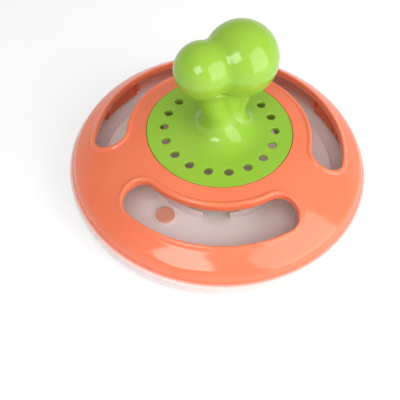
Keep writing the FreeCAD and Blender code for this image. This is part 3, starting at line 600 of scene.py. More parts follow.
def bowl_plastic():
    """Milky plastic with painted orange light from the shell: salmon on the inside of its wall, from 9 to
    15 mm up and higher, and pink towards its upper edge, from 12 to 24 mm up.
    """
    material = bpy.data.materials.get("Bowl plastic")
    if material:
        return material
    base, colours = sizes("base"), toy().colours
    material = plastic("Bowl plastic", colours.milky, colours.milky_shade, **MILKY)
    tree = material.node_tree
    shader = tree.nodes["Principled BSDF"]
    skin = shader.inputs["Base Color"].links[0].from_socket
    split = tree.nodes.new("ShaderNodeSeparateXYZ")
    wire(tree, tree.nodes.new("ShaderNodeTexCoord").outputs["Object"], split.inputs["Vector"])
    across = [sums(tree, "MULTIPLY", split.outputs[axis], split.outputs[axis]) for axis in ("X", "Y")]
    radius = sums(tree, "SQRT", sums(tree, "ADD", *across), 0.0)
    in_wall = [base.side_radius - depth for depth in PAINTED_INSIDE_DEPTHS]
    height = split.outputs["Z"]
    inside, above, edge = (
        ramp(tree, value, low * MILLIMETRE, high * MILLIMETRE)
        for value, (low, high) in ((radius, in_wall), (height, PAINTED_INSIDE_HEIGHTS), (height, PAINTED_EDGE_HEIGHTS)))
    # Painted light: pink from the shell's orange light, rising towards the bowl's upper edge.
    outer = blend_colours(tree, edge, skin, (*colours.painted_edge_light, 1.0))
    # Painted light: salmon from the shell's orange light on the inside of the bowl's wall.
    lower = blend_colours(tree, sums(tree, "MULTIPLY", inside, above), outer, (*colours.painted_inside_light, 1.0))
    wire(tree, lower, shader.inputs["Base Color"])
    return material


def plug_plastic():
    colours = toy().colours
    deeper = tuple(0.93 * value for value in colours.plug)
    return plastic("Plug plastic", colours.plug, deeper, 0.30, cloud=120.0, ripple=0.03)


def grained(name, tone, shade, roughness, scale, depth, metal=0.0):
    """Rubber or metal. Its colour, tone, drifts to that colour times shade."""
    found = bpy.data.materials.get(name)
    if found:
        return found
    material, tree, shader = new_finish(name)
    main = getattr(toy().colours, tone)
    deeper = tuple(shade * value for value in main)
    skin = place_group(tree, cast_grain(), {
        "Colour": main, "Deeper": deeper, "Grain scale": scale, "Roughness": roughness})
    wire(tree, skin.outputs["Colour"], shader.inputs["Base Color"])
    wire(tree, skin.outputs["Roughness"], shader.inputs["Roughness"])
    shader.inputs["Metallic"].default_value = metal
    add_bump(tree, shader, skin.outputs["Height"], 0.5, depth)
    return material


def matte_rubber():
    return grained("Matte rubber", "foot", shade=0.9, roughness=0.72, scale=900.0, depth=0.05)


def soft_silicone():
    return grained("Soft silicone", "seal", shade=0.95, roughness=0.5, scale=1400.0, depth=0.02)


def cast_iron():
    return grained("Cast iron", "iron", shade=0.6, roughness=0.62, scale=420.0, depth=0.25, metal=0.7)


def zinc_plate():
    return grained("Zinc plate", "zinc", shade=0.85, roughness=0.33, scale=900.0, depth=0.02, metal=1.0)


# Shell

ARC_STEPS = 60
CAP_STEPS = 26
CAP_ON_ARC = 6
FILL_LAYERS = 8
FILL_INNER = 51.5
FILL_OUTER = 90.5
RECESS_TURN = 2.0
LEDGE_WALL = 2.0
CREASE_START = 92.2
EDGE_STEPS, EDGE_INNER_STEPS = 12, 10
FLANGE_ROOT, FLANGE_TIP = 44.2, 41.6
FLANGE_LOW, FLANGE_TOP, STOP_TOP = 39.3, 41.3, 39.5
LOCK_BOTTOM = 36.9
FLANGE_START, FLANGE_SWEEP = 14.0, 92.0
STOP_START, STOP_SWEEP = 47.0, 4.0
CLIP_INNER, CLIP_OUTER = 89.0, 90.8
CLIP_BOTTOM, CLIP_SWEEP = 17.3, 22.0
BARB_REACH, BARB_LOW, BARB_TOP = 1.5, 1.2, 2.4
RIB_REACH, RIB_WIDTH, RIB_FOOT, RIB_PITCH = 4.0, 1.8, 7.2, 1.0
IN_CLIP, IN_DOME = 0.9, 1.1


class Dome:
    """The section of the shell's face."""

    def __init__(self):
        shell = sizes("shell")
        start = np.array([shell.recess_radius, shell.recess_height])
        end = np.array([shell.crease_radius, shell.crease_height])
        chord = end - start
        span = np.hypot(*chord)
        reach = math.sqrt(shell.dome_curve ** 2 - span ** 2 / 4)
        centre = (start + end) / 2 + np.array([chord[1], -chord[0]]) / span * reach
        self.centre = centre
        self.curve = shell.dome_curve

    def height(self, radius, rise=0.0):
        across = np.asarray(radius, float) - self.centre[0]
        return self.centre[1] + np.sqrt((self.curve + rise) ** 2 - across ** 2)


def window_loop(offset):
    """Points (radius, angle) round a window, offset outwards from its edge."""
    shell = sizes("shell")
    sweep = degrees_of("shell", "window_sweep")
    circle, reach = shell.window_circle, shell.window_reach + offset
    arc = np.linspace(-sweep, sweep, ARC_STEPS + 1)
    caps = np.linspace(0, 180, CAP_STEPS + 1)[1:-1]
    loop = [(circle + reach, a) for a in arc]
    loop += [cap_point(circle, reach, sweep, turn) for turn in caps]
    loop += [(circle - reach, a) for a in arc[::-1]]
    loop += [cap_point(circle, reach, -sweep, turn) for turn in caps + 180]
    return np.array(loop)


def cap_point(circle, reach, direction, turn):
    x = circle + reach * math.cos(math.radians(turn))
    y = reach * math.sin(math.radians(turn))
    return math.hypot(x, y), direction + math.degrees(math.atan2(y, x))


def sector_outline():
    """As many points as a window's loop has, round the third of the dome that holds it."""
    sweep = degrees_of("shell", "window_sweep")
    arc = np.linspace(-sweep, sweep, ARC_STEPS + 1)
    side = np.linspace(sweep, SECTOR / 2, CAP_ON_ARC + 2)[1:]
    line = np.linspace(FILL_OUTER, FILL_INNER, CAP_STEPS - 2 * CAP_ON_ARC - 1)[1:-1]
    right = [(FILL_OUTER, a) for a in side] + [(r, SECTOR / 2) for r in line]
    right += [(FILL_INNER, a) for a in side[::-1]]
    outline = [(FILL_OUTER, a) for a in arc] + right
    outline += [(FILL_INNER, a) for a in arc[::-1]]
    outline += [(r, -a) for r, a in right[::-1]]
    return np.array(outline)


def sector_angles():
    """Angles at which the rings inside and outside the windows are drawn."""
    sweep = degrees_of("shell", "window_sweep")
    side = np.linspace(sweep, SECTOR / 2, CAP_ON_ARC + 2)[1:]
    arc = np.linspace(-sweep, sweep, ARC_STEPS + 1)
    third = np.concatenate([-side[::-1], arc, side[:-1]])
    return np.concatenate([third + middle for middle in WINDOW_MIDDLES])


BEAD = [(3.9, 0.0), (3.45, 0.05), (3.15, 0.22), (2.9, 0.55), (2.55, 0.92), (2.05, 1.2), (1.5, 1.3),
        (0.95, 1.18), (0.5, 0.88), (0.18, 0.42), (0.0, -0.15)]
SKIRT = [(0.0, -1.5), (0.0, -3.9), (0.15, -4.25), (0.5, -4.4), (1.5, -4.4), (1.85, -4.25),
         (2.0, -3.9), (2.0, -2.7), (2.15, -2.35), (2.6, -2.2), (3.9, -2.2)]
BEAD_TOP = 1.3


def window_rows(dome, loops, middle, rise_scale):
    rows = []
    for offset, rise in loops:
        loop = window_loop(offset)
        lift = rise * (rise_scale if rise > 0 else 1.0)
        rows.append(around(loop[:, 0], loop[:, 1] + middle, dome.height(loop[:, 0]) + lift))
    return np.array(rows)


def fill_rows(dome, middle, rise):
    inner = window_loop(BEAD[0][0])
    outer = sector_outline()
    rows = []
    for share in np.linspace(0, 1, FILL_LAYERS + 1):
        loop = inner * (1 - share) + outer * share
        rows.append(around(loop[:, 0], loop[:, 1] + middle, dome.height(loop[:, 0]) + rise))
    return np.array(rows)


def shell_edges(skin, dome):
    """The recess for the lid with its ledge and collar, and the outer rim."""
    shell = sizes("shell")
    angles = sector_angles()
    under = -shell.wall
    recess = shell.recess_radius
    back = recess + shell.wall
    collar_outer = shell.collar_radius + shell.collar_wall
    ledge_under = shell.ledge_height - LEDGE_WALL
    turn = recess + RECESS_TURN
    inner = [(FILL_INNER, dome.height(FILL_INNER)), (turn, dome.height(turn)),
             (recess, shell.recess_height, 0.55), (recess, shell.ledge_height, 0.3),
             (shell.collar_radius, shell.ledge_height, 0.5),
             (shell.collar_radius, shell.collar_bottom, 0.5),
             (collar_outer, shell.collar_bottom, 0.5), (collar_outer, ledge_under, 0.8),
             (back, ledge_under, 0.5), (back, dome.height(back) + under, 0.5),
             (FILL_INNER, dome.height(FILL_INNER) + under)]
    skin.turned(rounded(inner, closed=False), angles, closed=False)
    crease = (shell.crease_radius, shell.crease_height)
    foot = (shell.edge_radius, shell.rim_height)
    inner_crease = np.array(crease) - (np.array(crease) - dome.centre) * shell.wall / dome.curve
    inner_foot = (foot[0] - shell.wall, foot[1])
    outer = [(FILL_OUTER, dome.height(FILL_OUTER)), (CREASE_START, dome.height(CREASE_START))]
    outer += arc_points(crease, foot, shell.edge_curve, -1, EDGE_STEPS)[:-1]
    outer += [(*foot, 0.4), (*inner_foot, 0.4)]
    outer += arc_points(inner_foot, inner_crease, shell.edge_curve - shell.wall, 1,
                        EDGE_INNER_STEPS)[1:]
    outer += [(FILL_OUTER, dome.height(FILL_OUTER) + under)]
    skin.turned(rounded(outer, closed=False), angles, closed=False)


def shell_locks(skin):
    """Locking flanges under the lid, with the stops that end the lid's turn."""
    flange, stop = (
        rounded([(FLANGE_TIP, low, 0.3), (FLANGE_ROOT, low), (FLANGE_ROOT, top), (FLANGE_TIP, top, *tip)])
        for low, top, tip in ((FLANGE_LOW, FLANGE_TOP, (0.3,)), (LOCK_BOTTOM, STOP_TOP, ())))
    for middle in WINDOW_MIDDLES:
        skin.sector(flange, middle + FLANGE_START, FLANGE_SWEEP)
        skin.sector(stop, middle + STOP_START, STOP_SWEEP)


def shell_clips(skin, dome):
    """Clip tabs that hang from the rim, each with a barb and two ribs."""
    inner, outer, bottom = CLIP_INNER, CLIP_OUTER, CLIP_BOTTOM
    rib_outer, rib_inner = inner + IN_CLIP, inner - RIB_REACH
    top, outer_top, inner_top = (float(dome.height(radius)) - IN_DOME
                                 for radius in (outer, rib_outer, rib_inner))
    barb = outer + BARB_REACH
    tab = rounded([(inner, bottom, 0.3), (outer, bottom, 0.2), (barb, bottom + BARB_LOW, 0.3),
                   (barb, bottom + BARB_TOP, 0.2), (outer, bottom + BARB_TOP), (outer, top), (inner, top)],
                  steps=3)
    rib = rounded([(rib_outer, bottom + BARB_TOP), (rib_outer, outer_top), (rib_inner, inner_top),
                   (rib_inner, bottom + RIB_FOOT, 0.6)], steps=3)
    rib_sweep = math.degrees(RIB_WIDTH / outer)
    for middle in WINDOW_MIDDLES:
        start = middle - CLIP_SWEEP / 2
        skin.sector(tab, start, CLIP_SWEEP)
        for first in (start, start + CLIP_SWEEP - rib_sweep):
            skin.sector(rib, first, rib_sweep, RIB_PITCH)


def shell_mesh():
    skin = Skin()
    dome = Dome()
    shell = sizes("shell")
    scale = shell.bead_rise / BEAD_TOP
    for middle in WINDOW_MIDDLES:
        skin.grid(window_rows(dome, BEAD + SKIRT, middle, scale), close_columns=True)
        skin.grid(fill_rows(dome, middle, 0.0), close_columns=True)
        skin.grid(fill_rows(dome, middle, -shell.wall), close_columns=True)
    shell_edges(skin, dome)
    shell_locks(skin)
    shell_clips(skin, dome)
    return skin


# Bone handle

BONE_RING = 144
SMALL_STEPS, BLEND_STEPS, LARGE_STEPS = 44, 12, 60


def length_of(x, y):
    return np.sqrt(x * x + y * y)


def round_union(first, second, radius):
    """Distance to two forms joined with a fillet."""
    gap = length_of(np.maximum(radius - first, 0.0), np.maximum(radius - second, 0.0))
    return np.maximum(radius, np.minimum(first, second)) - gap


def lobe_line():
    direction = math.radians(degrees_of("bone", "direction"))
    return np.array([math.cos(direction), math.sin(direction), 0.0])


def lobe_centres():
    bone = sizes("bone")
    up = np.array([0.0, 0.0, bone.height])
    return up + lobe_line() * bone.large_offset, up - lobe_line() * bone.small_offset


def lobes_distance(points):
    bone = sizes("bone")
    large, small = lobe_centres()
    return round_union(np.linalg.norm(points - large, axis=-1) - bone.large_radius,
                       np.linalg.norm(points - small, axis=-1) - bone.small_radius, bone.blend)


def column_distance(points, foot, top, foot_radius, tip_radius):
    """Distance to a tapering column; foot and top lie along the lobes' line."""
    start = lobe_line() * foot + np.array([0.0, 0.0, sizes("lid").column_start])
    run = lobe_line() * top + np.array([0.0, 0.0, sizes("bone").height]) - start
    share = np.clip((points - start) @ run / (run @ run), COLUMN_BELOW, COLUMN_END)
    nearest = start + share[..., None] * run
    return np.linalg.norm(points - nearest, axis=-1) - (foot_radius + (tip_radius - foot_radius) * share)


def web_distance(points):
    """Distance to the wall that fills the fork between the two columns."""
    lid, line, up = sizes("lid"), lobe_line(), np.array([0.0, 0.0, 1.0])
    reach = sizes("bone").height - lid.column_start
    share = np.clip((points[..., 2] - lid.column_start) / reach, COLUMN_BELOW, COLUMN_END)
    low = lid.small_foot - (lid.small_foot + lid.small_top) * share
    high = lid.large_foot + (lid.large_top - lid.large_foot) * share
    along_line = np.clip(points @ line, low, high)
    nearest = along_line[..., None] * line + (lid.column_start + share * reach)[..., None] * up
    reach = lid.web_radius + (lid.web_tip - lid.web_radius) * share
    return np.linalg.norm(points - nearest, axis=-1) - reach


def stem_distance(points):
    """The disc's face, the columns, their web and the lobes, each joined by a fillet."""
    lid = sizes("lid")
    large = column_distance(points, lid.large_foot, lid.large_top, lid.large_radius, lid.large_tip)
    small = column_distance(points, lid.small_foot, -lid.small_top, lid.small_radius, lid.small_tip)
    web = web_distance(points)
    higher = np.clip((points[..., 2] - lid.column_start) / FORK_RISE, 0.0, 1.0)
    fork = lid.fork_blend * (FORK_START + (1.0 - FORK_START) * higher)
    columns = round_union(round_union(small, web, fork), large, fork)
    middle = np.array([0.0, 0.0, 1.0]) * np.clip(points[..., 2:3], None, lid.column_start)
    core = np.linalg.norm(points - middle - lobe_line() * CORE_OFFSET, axis=-1) - lid.core_radius
    columns = round_union(columns, core, CORE_BLEND)
    stem = round_union(points[..., 2] - lid.face_height, columns, lid.flare_blend)
    return round_union(stem, lobes_distance(points), lid.lobe_blend)


def bone_outline():
    """Half section of the bone: distance along its axis, and radius."""
    bone = sizes("bone")
    large, small, blend = bone.large_radius, bone.small_radius, bone.blend
    large_at, small_at = bone.large_offset, -bone.small_offset
    apart = large_at - small_at
    near, far = small + blend, large + blend
    reach = (near ** 2 - far ** 2 + apart ** 2) / (2 * apart)
    middle = (small_at + reach, math.sqrt(near ** 2 - reach ** 2))
    small_turn = math.atan2(middle[1], middle[0] - small_at)
    large_turn = math.atan2(middle[1], middle[0] - large_at)
    outline = [(small_at + small * math.cos(a), small * math.sin(a))
               for a in np.linspace(math.pi, small_turn, SMALL_STEPS)]
    outline += [(middle[0] + blend * math.cos(a), middle[1] + blend * math.sin(a))
                for a in np.linspace(small_turn - math.pi, large_turn - math.pi, BLEND_STEPS)[1:-1]]
    outline += [(large_at + large * math.cos(a), large * math.sin(a))
                for a in np.linspace(large_turn, 0.0, LARGE_STEPS)]
    return np.array(outline)


def bone_mesh():
    skin = Skin()
    outline = bone_outline()
    a = np.radians(ring_angles(BONE_RING))[:, None]
    along_axis = np.broadcast_to(outline[:, 0], (len(a), len(outline)))
    line = lobe_line()
    side = np.array([-line[1], line[0], 0.0])
    up = np.array([0.0, 0.0, 1.0])
    rows = (along_axis[..., None] * line + (outline[:, 1] * np.cos(a))[..., None] * side
            + (outline[:, 1] * np.sin(a))[..., None] * up + up * sizes("bone").height)
    skin.grid(rows, close_rows=True)
    return skin


# Lid

HOLES = 18
HOLE_SIDE = 8
LID_INNER = 30.5
LID_OUTER = 41.5
HOLE_LAYERS = 5
STEM_ROWS = 84
STEM_STEPS = 500
STEM_STEP = 0.3
STEM_RISE = 8.0
STEM_MIDDLE = 4.0
PROBE = 0.01
HEART = -2.0
CLOSING_INSET = 0.06
CLOSING_SHARES = (1.0, 0.75, 0.5, 0.25, 0.0)
COLUMN_BELOW = -0.6
COLUMN_END = 0.74
FORK_RISE = 28.0
FORK_START = 0.5
CORE_OFFSET = 2.0
CORE_BLEND = 2.0
HOLLOW_EDGE, HOLLOW_NARROW, HOLLOW_TOP = 25.4, 7.9, 66.9
HOLLOW_CURVE, HOLLOW_STEPS = 19.6, 20
COLLAR_INNER, COLLAR_OUTER = 39.4, 41.2
LUG_INNER, LUG_OUTER, LUG_TOP, LUG_SWEEP = 40.3, 42.8, 38.9, 22.0
IN_DISC = 1.0
NEAR_LOBES = 0.02
HOLE_EDGE = [(0.55, 0.0), (0.38, 0.03), (0.2, 0.12), (0.07, 0.27), (0.0, 0.5)]


def lid_angles():
    first = degrees_of("lid", "hole_first") - FULL_TURN / HOLES / 2
    return first + np.arange(HOLES * HOLE_SIDE) * FULL_TURN / (HOLES * HOLE_SIDE)


def hole_loop(number, offset):
    """Points (x, y) round a scent hole, offset outwards from its edge."""
    lid = sizes("lid")
    middle = math.radians(degrees_of("lid", "hole_first") + number * FULL_TURN / HOLES)
    turns = middle + np.radians(np.arange(4 * HOLE_SIDE) * FULL_TURN / (4 * HOLE_SIDE) - 45.0)
    reach = lid.hole_diameter / 2 + offset
    return np.stack([lid.hole_circle * math.cos(middle) + reach * np.cos(turns),
                     lid.hole_circle * math.sin(middle) + reach * np.sin(turns)], -1)


def hole_outline(number):
    """As many points as a hole's loop has, round the part of the disc that holds it."""
    middle = degrees_of("lid", "hole_first") + number * FULL_TURN / HOLES
    half = FULL_TURN / HOLES / 2
    arc = np.linspace(-half, half, HOLE_SIDE + 1)
    line = np.linspace(LID_OUTER, LID_INNER, HOLE_SIDE + 1)
    points = [(LID_OUTER, a) for a in arc[:-1]] + [(r, half) for r in line[:-1]]
    points += [(LID_INNER, a) for a in arc[:0:-1]] + [(r, -half) for r in line[:0:-1]]
    radii, turns = np.array(points).T
    return around(radii, turns + middle, 0.0)[:, :2]


def at_height(loop, height):
    return np.concatenate([loop, np.full((len(loop), 1), height)], 1)


def disc_holes(skin):
    lid = sizes("lid")
    top, under = lid.face_height, lid.face_height - lid.disc_wall
    for number in range(HOLES):
        edge = [at_height(hole_loop(number, offset), top - drop) for offset, drop in HOLE_EDGE]
        edge += [at_height(hole_loop(number, offset), under + drop) for offset, drop in HOLE_EDGE[::-1]]
        skin.grid(edge, close_columns=True)
        outline = hole_outline(number)
        rim = hole_loop(number, HOLE_EDGE[0][0])
        for height in (top, under):
            rows = [at_height(rim * (1 - share) + outline * share, height)
                    for share in np.linspace(0, 1, HOLE_LAYERS + 1)]
            skin.grid(rows, close_columns=True)


def stem_slope(points):
    """The distance to the stem's surface and its gradient."""
    across = [stem_distance(points + probe) - stem_distance(points - probe) for probe in np.eye(3) * PROBE]
    return stem_distance(points), np.stack(across, -1) / (2 * PROBE)


def stem_paths(angles):
    """Follows the stem's surface from the disc up to the lobes, one line for each angle."""
    lid = sizes("lid")
    up = np.array([0.0, 0.0, 1.0])
    middle = lobe_line() * STEM_MIDDLE
    points = around(LID_INNER, angles, lid.face_height)
    live = np.ones(len(angles), bool)
    paths = [points]
    for _ in range(STEM_STEPS):
        normal = stem_slope(points)[1]
        normal /= np.maximum(np.linalg.norm(normal, axis=-1, keepdims=True), 1e-6)
        rise = np.clip((points[:, 2:] - lid.face_height) / STEM_RISE, 0.0, 1.0)
        inward = (middle - points) * (1.0 - up)
        inward /= np.linalg.norm(inward, axis=-1, keepdims=True)
        heading = inward * (1.0 - rise) + up * rise
        heading -= (heading * normal).sum(-1, keepdims=True) * normal
        heading /= np.maximum(np.linalg.norm(heading, axis=-1, keepdims=True), 1e-6)
        moved = points + heading * STEM_STEP
        for _ in range(3):
            value, gradient = stem_slope(moved)
            steepness = np.maximum((gradient ** 2).sum(-1), 1e-4)
            moved = moved - (value / steepness)[:, None] * gradient
        points = np.where(live[:, None], moved, points)
        paths.append(points)
        live &= lobes_distance(points) > NEAR_LOBES
        if not live.any():
            break
    paths = np.array(paths)
    rows = np.zeros((STEM_ROWS + 1, len(angles), 3))
    for number in range(len(angles)):
        path = paths[:, number]
        travel = np.concatenate([[0.0], np.cumsum(np.linalg.norm(np.diff(path, axis=0), axis=-1))])
        keep = np.concatenate([[True], np.diff(travel) > 1e-9])
        places = np.linspace(0, travel[-1], STEM_ROWS + 1)
        for axis in range(3):
            rows[:, number, axis] = np.interp(places, travel[keep], path[keep, axis])
    return rows


def lid_stem(skin):
    """The stem, closed inside the lobes."""
    rows = stem_paths(lid_angles())
    skin.grid(rows, close_columns=True)
    edge = rows[-1]
    heart = lobe_line() * HEART + np.array([0.0, 0.0, sizes("bone").height])
    inset = edge + (heart - edge) * CLOSING_INSET
    centre = inset.mean(0)
    closing = [edge] + [centre + (inset - centre) * share for share in CLOSING_SHARES]
    skin.grid(closing, close_columns=True)


def lid_mesh():
    skin = Skin()
    lid = sizes("lid")
    angles = lid_angles()
    top, under = lid.face_height, lid.face_height - lid.disc_wall
    disc_holes(skin)
    edge = [(LID_OUTER, top), (lid.disc_radius, top, 0.45), (lid.disc_radius, under, 0.4),
            (LID_OUTER, under)]
    skin.turned(rounded(edge, closed=False), angles, closed=False)
    lid_stem(skin)
    hollow = [(LID_INNER, under), (HOLLOW_EDGE, under, 0.8)]
    hollow += arc_points((HOLLOW_EDGE, under), (HOLLOW_NARROW, HOLLOW_TOP), HOLLOW_CURVE, -1,
                         HOLLOW_STEPS)[1:-1]
    hollow += [(HOLLOW_NARROW, HOLLOW_TOP, 0.6), (0.0, HOLLOW_TOP)]
    skin.turned(rounded(hollow, closed=False), angles, closed=False)
    skin.turned(rounded([(COLLAR_INNER, LOCK_BOTTOM, 0.4), (COLLAR_OUTER, LOCK_BOTTOM, 0.4),
                         (COLLAR_OUTER, under + IN_DISC), (COLLAR_INNER, under + IN_DISC)]), angles)
    lug = rounded([(LUG_INNER, LOCK_BOTTOM), (LUG_OUTER, LOCK_BOTTOM, 0.4), (LUG_OUTER, LUG_TOP, 0.4),
                   (LUG_INNER, LUG_TOP)])
    for middle in WINDOW_MIDDLES:
        skin.sector(lug, middle - LUG_SWEEP / 2, LUG_SWEEP)
    return skin


# Base

FOOT_INNER, FOOT_OUTER, FOOT_TOP, FOOT_SEAT = 33.0, 43.0, 1.8, 1.0
TURN_STEPS, TURN_INNER_STEPS = 24, 16
LIP_STEP, LIP_RISE = 1.4, 2.2
CATCH_INNER, CATCH_OUTER, CATCH_LOW, CATCH_TOP, CATCH_SWEEP = 91.1, 98.7, 20.0, 22.0, 16.0
POST_BORE, POST_RADIUS, POST_FOOT = 1.6, 4.0, 2.0
TRAY_POST_TOP, BALLAST_POST_TOP, BALLAST_POST_CIRCLE = 9.0, 8.4, 24.0
POST_RING, BOSS_RING, PLUG_RING = 40, 48, 64
TRAY_WALL, GATE_WALL = 2.0, 2.2
BOSS_RISE, BOSS_BOTTOM, PLUG_SEAT = 1.0, 9.0, 12.4
PLUG_CAP_RISE, PLUG_SINK, PLUG_LAP, PLUG_DISH = 1.0, 1.2, 0.6, 0.13
SEAL_INNER, SEAL_OUTER, SEAL_LOW, SEAL_TOP = 43.7, 46.3, 47.8, 48.5
CAP_RADIUS, CAP_LOW, CAP_TOP = 27.0, 47.0, 48.8
SPIGOT_OUTER, SPIGOT_INNER, SPIGOT_RISE = 15.3, 13.9, 4.0


def ring_outline(inner, outer, low, top, rounding, upper=None):
    """Section of a plain ring, its upper edges rounded by upper where that is given."""
    upper = rounding if upper is None else upper
    return rounded([(inner, low, rounding), (outer, low, rounding),
                    (outer, top, upper), (inner, top, upper)])


def bowl_floor(radius):
    base = sizes("base")
    slope = (base.turn_height - base.underside) / (base.turn_radius - base.flat_radius)
    return base.underside + base.wall + (radius - base.flat_radius) * slope


def boss_places():
    base = sizes("base")
    offset = degrees_of("base", "boss_offset")
    for middle in WINDOW_MIDDLES:
        a = math.radians(middle - offset)
        yield base.boss_circle * math.cos(a), base.boss_circle * math.sin(a)


def post_outline(top):
    """Section of a screw post on the bowl's floor."""
    foot = sizes("base").underside + POST_FOOT
    return rounded([(POST_BORE, foot), (POST_BORE, top, 0.2), (POST_RADIUS, top, 0.4), (POST_RADIUS, foot)])


def bowl_mesh():
    skin = Skin()
    base = sizes("base")
    rim = sizes("shell").rim_height
    side, wall = base.side_radius, base.wall
    low_outer, side_outer = (base.turn_radius, base.turn_height), (side, base.side_height)
    low_inner = (base.turn_radius, bowl_floor(base.turn_radius))
    side_inner = (side - wall, base.side_height)
    low, seat = base.underside, base.underside + FOOT_SEAT
    outline = [(0.0, low), (FOOT_INNER, low, 0.2), (FOOT_INNER, seat, 0.2), (FOOT_OUTER, seat, 0.2),
               (FOOT_OUTER, low, 0.2), (base.flat_radius, low, 1.0)]
    outline += arc_points(low_outer, side_outer, base.corner, 1, TURN_STEPS)
    lip = base.land + LIP_STEP
    outline += [(side, rim, 1.0), (lip, rim, 0.2), (lip, rim + LIP_RISE, 0.35),
                (base.land, rim + LIP_RISE, 0.35),
                (base.land, base.side_height + side - wall - base.land, 0.4)]
    outline += arc_points(side_inner, low_inner, base.corner - wall, -1, TURN_INNER_STEPS)
    outline += [(base.flat_radius, base.underside + wall, 1.0), (0.0, base.underside + wall)]
    skin.turned(rounded(outline, closed=False), closed=False)
    catch = rounded([(CATCH_INNER, CATCH_LOW, 0.3), (CATCH_OUTER, CATCH_LOW), (CATCH_OUTER, CATCH_TOP),
                     (CATCH_INNER, CATCH_TOP, 0.6)])
    for middle in WINDOW_MIDDLES:
        skin.sector(catch, middle - CATCH_SWEEP / 2, CATCH_SWEEP)
    for place in boss_places():
        skin.turned(post_outline(TRAY_POST_TOP), ring_angles(POST_RING), centre=place)
    for number in range(3):
        a = number * math.tau / 3
        skin.turned(post_outline(BALLAST_POST_TOP), ring_angles(POST_RING),
                    centre=(BALLAST_POST_CIRCLE * math.cos(a), BALLAST_POST_CIRCLE * math.sin(a)))
    return skin


def tray_mesh():
    skin = Skin()
    base = sizes("base")
    top, edge = base.floor_top, base.floor_radius
    under, inner = top - TRAY_WALL, edge - TRAY_WALL
    outline = [(0.0, under), (inner, under, 0.6), (inner, bowl_floor(inner)), (edge, bowl_floor(edge)),
               (edge, top, 1.4), (0.0, top)]
    skin.turned(rounded(outline, closed=False), closed=False)
    gate_inner, gate_outer = base.gate_radius - GATE_WALL, base.gate_radius
    wall = rounded([(gate_inner, top - 1.0), (gate_outer, top - 1.0), (gate_outer, base.gate_top, 0.8),
                    (gate_inner, base.gate_top, 0.8)])
    gate = degrees_of("base", "gate_arc")
    for middle in WINDOW_MIDDLES:
        skin.sector(wall, middle + degrees_of("base", "gate_turn") + gate / 2, SECTOR - gate)
    bore, boss_radius = base.plug_radius - 0.5, base.boss_radius
    boss = rounded([(bore, PLUG_SEAT), (bore, top + BOSS_RISE, 0.2), (boss_radius, top + BOSS_RISE, 0.6),
                    (boss_radius, top - 0.6)])
    below = rounded([(POST_RADIUS, BOSS_BOTTOM, 0.2), (boss_radius, BOSS_BOTTOM, 0.3),
                     (boss_radius, under + 0.4), (POST_RADIUS, under + 0.4)])
    for place in boss_places():
        skin.turned(boss, ring_angles(BOSS_RING), centre=place)
        skin.turned(below, ring_angles(BOSS_RING), centre=place)
    return skin


def plug_mesh(place):
    skin = Skin()
    base = sizes("base")
    top, cap = base.floor_top + BOSS_RISE, base.plug_radius
    low, high, stem = top - PLUG_SINK, top + PLUG_CAP_RISE, cap - PLUG_LAP
    outline = [(0.0, low), (stem, low, 0.2), (stem, top, 0.1), (cap, top, 0.1), (cap, high, 0.45),
               (cap - 1.2, high - 0.02, 0.1), (cap / 2, high - 0.1), (0.0, high - PLUG_DISH)]
    skin.turned(rounded(outline, closed=False, steps=4), ring_angles(PLUG_RING), closed=False, centre=place)
    return skin


def foot_mesh():
    skin = Skin()
    skin.turned(ring_outline(FOOT_INNER, FOOT_OUTER, 0.0, FOOT_TOP, 0.5, 0.2))
    return skin


def seal_mesh():
    skin = Skin()
    skin.turned(ring_outline(SEAL_INNER, SEAL_OUTER, SEAL_LOW, SEAL_TOP, 0.25))
    return skin


def stem_cap_mesh():
    skin = Skin()
    top, spigot = CAP_TOP, CAP_TOP + SPIGOT_RISE
    outline = [(0.0, CAP_LOW), (CAP_RADIUS, CAP_LOW, 0.5), (CAP_RADIUS, top, 0.3), (SPIGOT_OUTER, top, 0.3),
               (SPIGOT_OUTER, spigot, 0.3), (SPIGOT_INNER, spigot, 0.3), (SPIGOT_INNER, top, 0.3),
               (0.0, top)]
    skin.turned(rounded(outline, closed=False), closed=False)
    return skin


# Studio

CAMERA_PLACE = (0.011305, -0.239248, 0.307745)
CAMERA_RIGHT = (0.993209, 0.115331, 0.015154)
CAMERA_UP = (-0.102741, 0.80862, 0.579284)
CAMERA_AHEAD = (-0.054548, 0.576906, -0.814983)
CAMERA_LENS = 48.62
SENSOR = 36.0
CLIP_NEAR, CLIP_FAR = 0.01, 20.0
LAMP_TARGET = (0.0, 0.0, 0.05)
HORIZON = (0.02, 0.40)
FLOOR_SIZE = 3.0
FIBRE_SCALE = 300.0
FIBRE_SHADE = 0.985


def place_camera():
    data = bpy.data.cameras.new("Camera")
    data.lens = CAMERA_LENS
    data.sensor_width = SENSOR
    data.clip_start = CLIP_NEAR
    data.clip_end = CLIP_FAR
    camera = bpy.data.objects.new("Camera", data)
    right, up = Vector(CAMERA_RIGHT), Vector(CAMERA_UP)
    back = -Vector(CAMERA_AHEAD)
    turn = Matrix((right, up, back)).transposed()
    camera.matrix_world = Matrix.Translation(CAMERA_PLACE) @ turn.to_4x4()
    bpy.context.scene.collection.objects.link(camera)
    bpy.context.scene.camera = camera


def softbox(name, level, direction, rise, distance, width, height, spin=0.0):
    """An area lamp that faces the toy, with a given radiance."""
    data = bpy.data.lights.new(name, "AREA")
    data.shape = "RECTANGLE"
    data.size, data.size_y = width, height
    data.energy = level * math.pi * width * height
    a, e = math.radians(direction), math.radians(rise)
    out = Vector((math.cos(e) * math.cos(a), math.cos(e) * math.sin(a), math.sin(e)))
    lamp = bpy.data.objects.new(name, data)
    turn = (-out).to_track_quat("-Z", "Y").to_matrix() @ Matrix.Rotation(math.radians(spin), 3, "Z")
    lamp.matrix_world = Matrix.Translation(Vector(LAMP_TARGET) + out * distance) @ turn.to_4x4()
    bpy.context.scene.collection.objects.link(lamp)
    return lamp


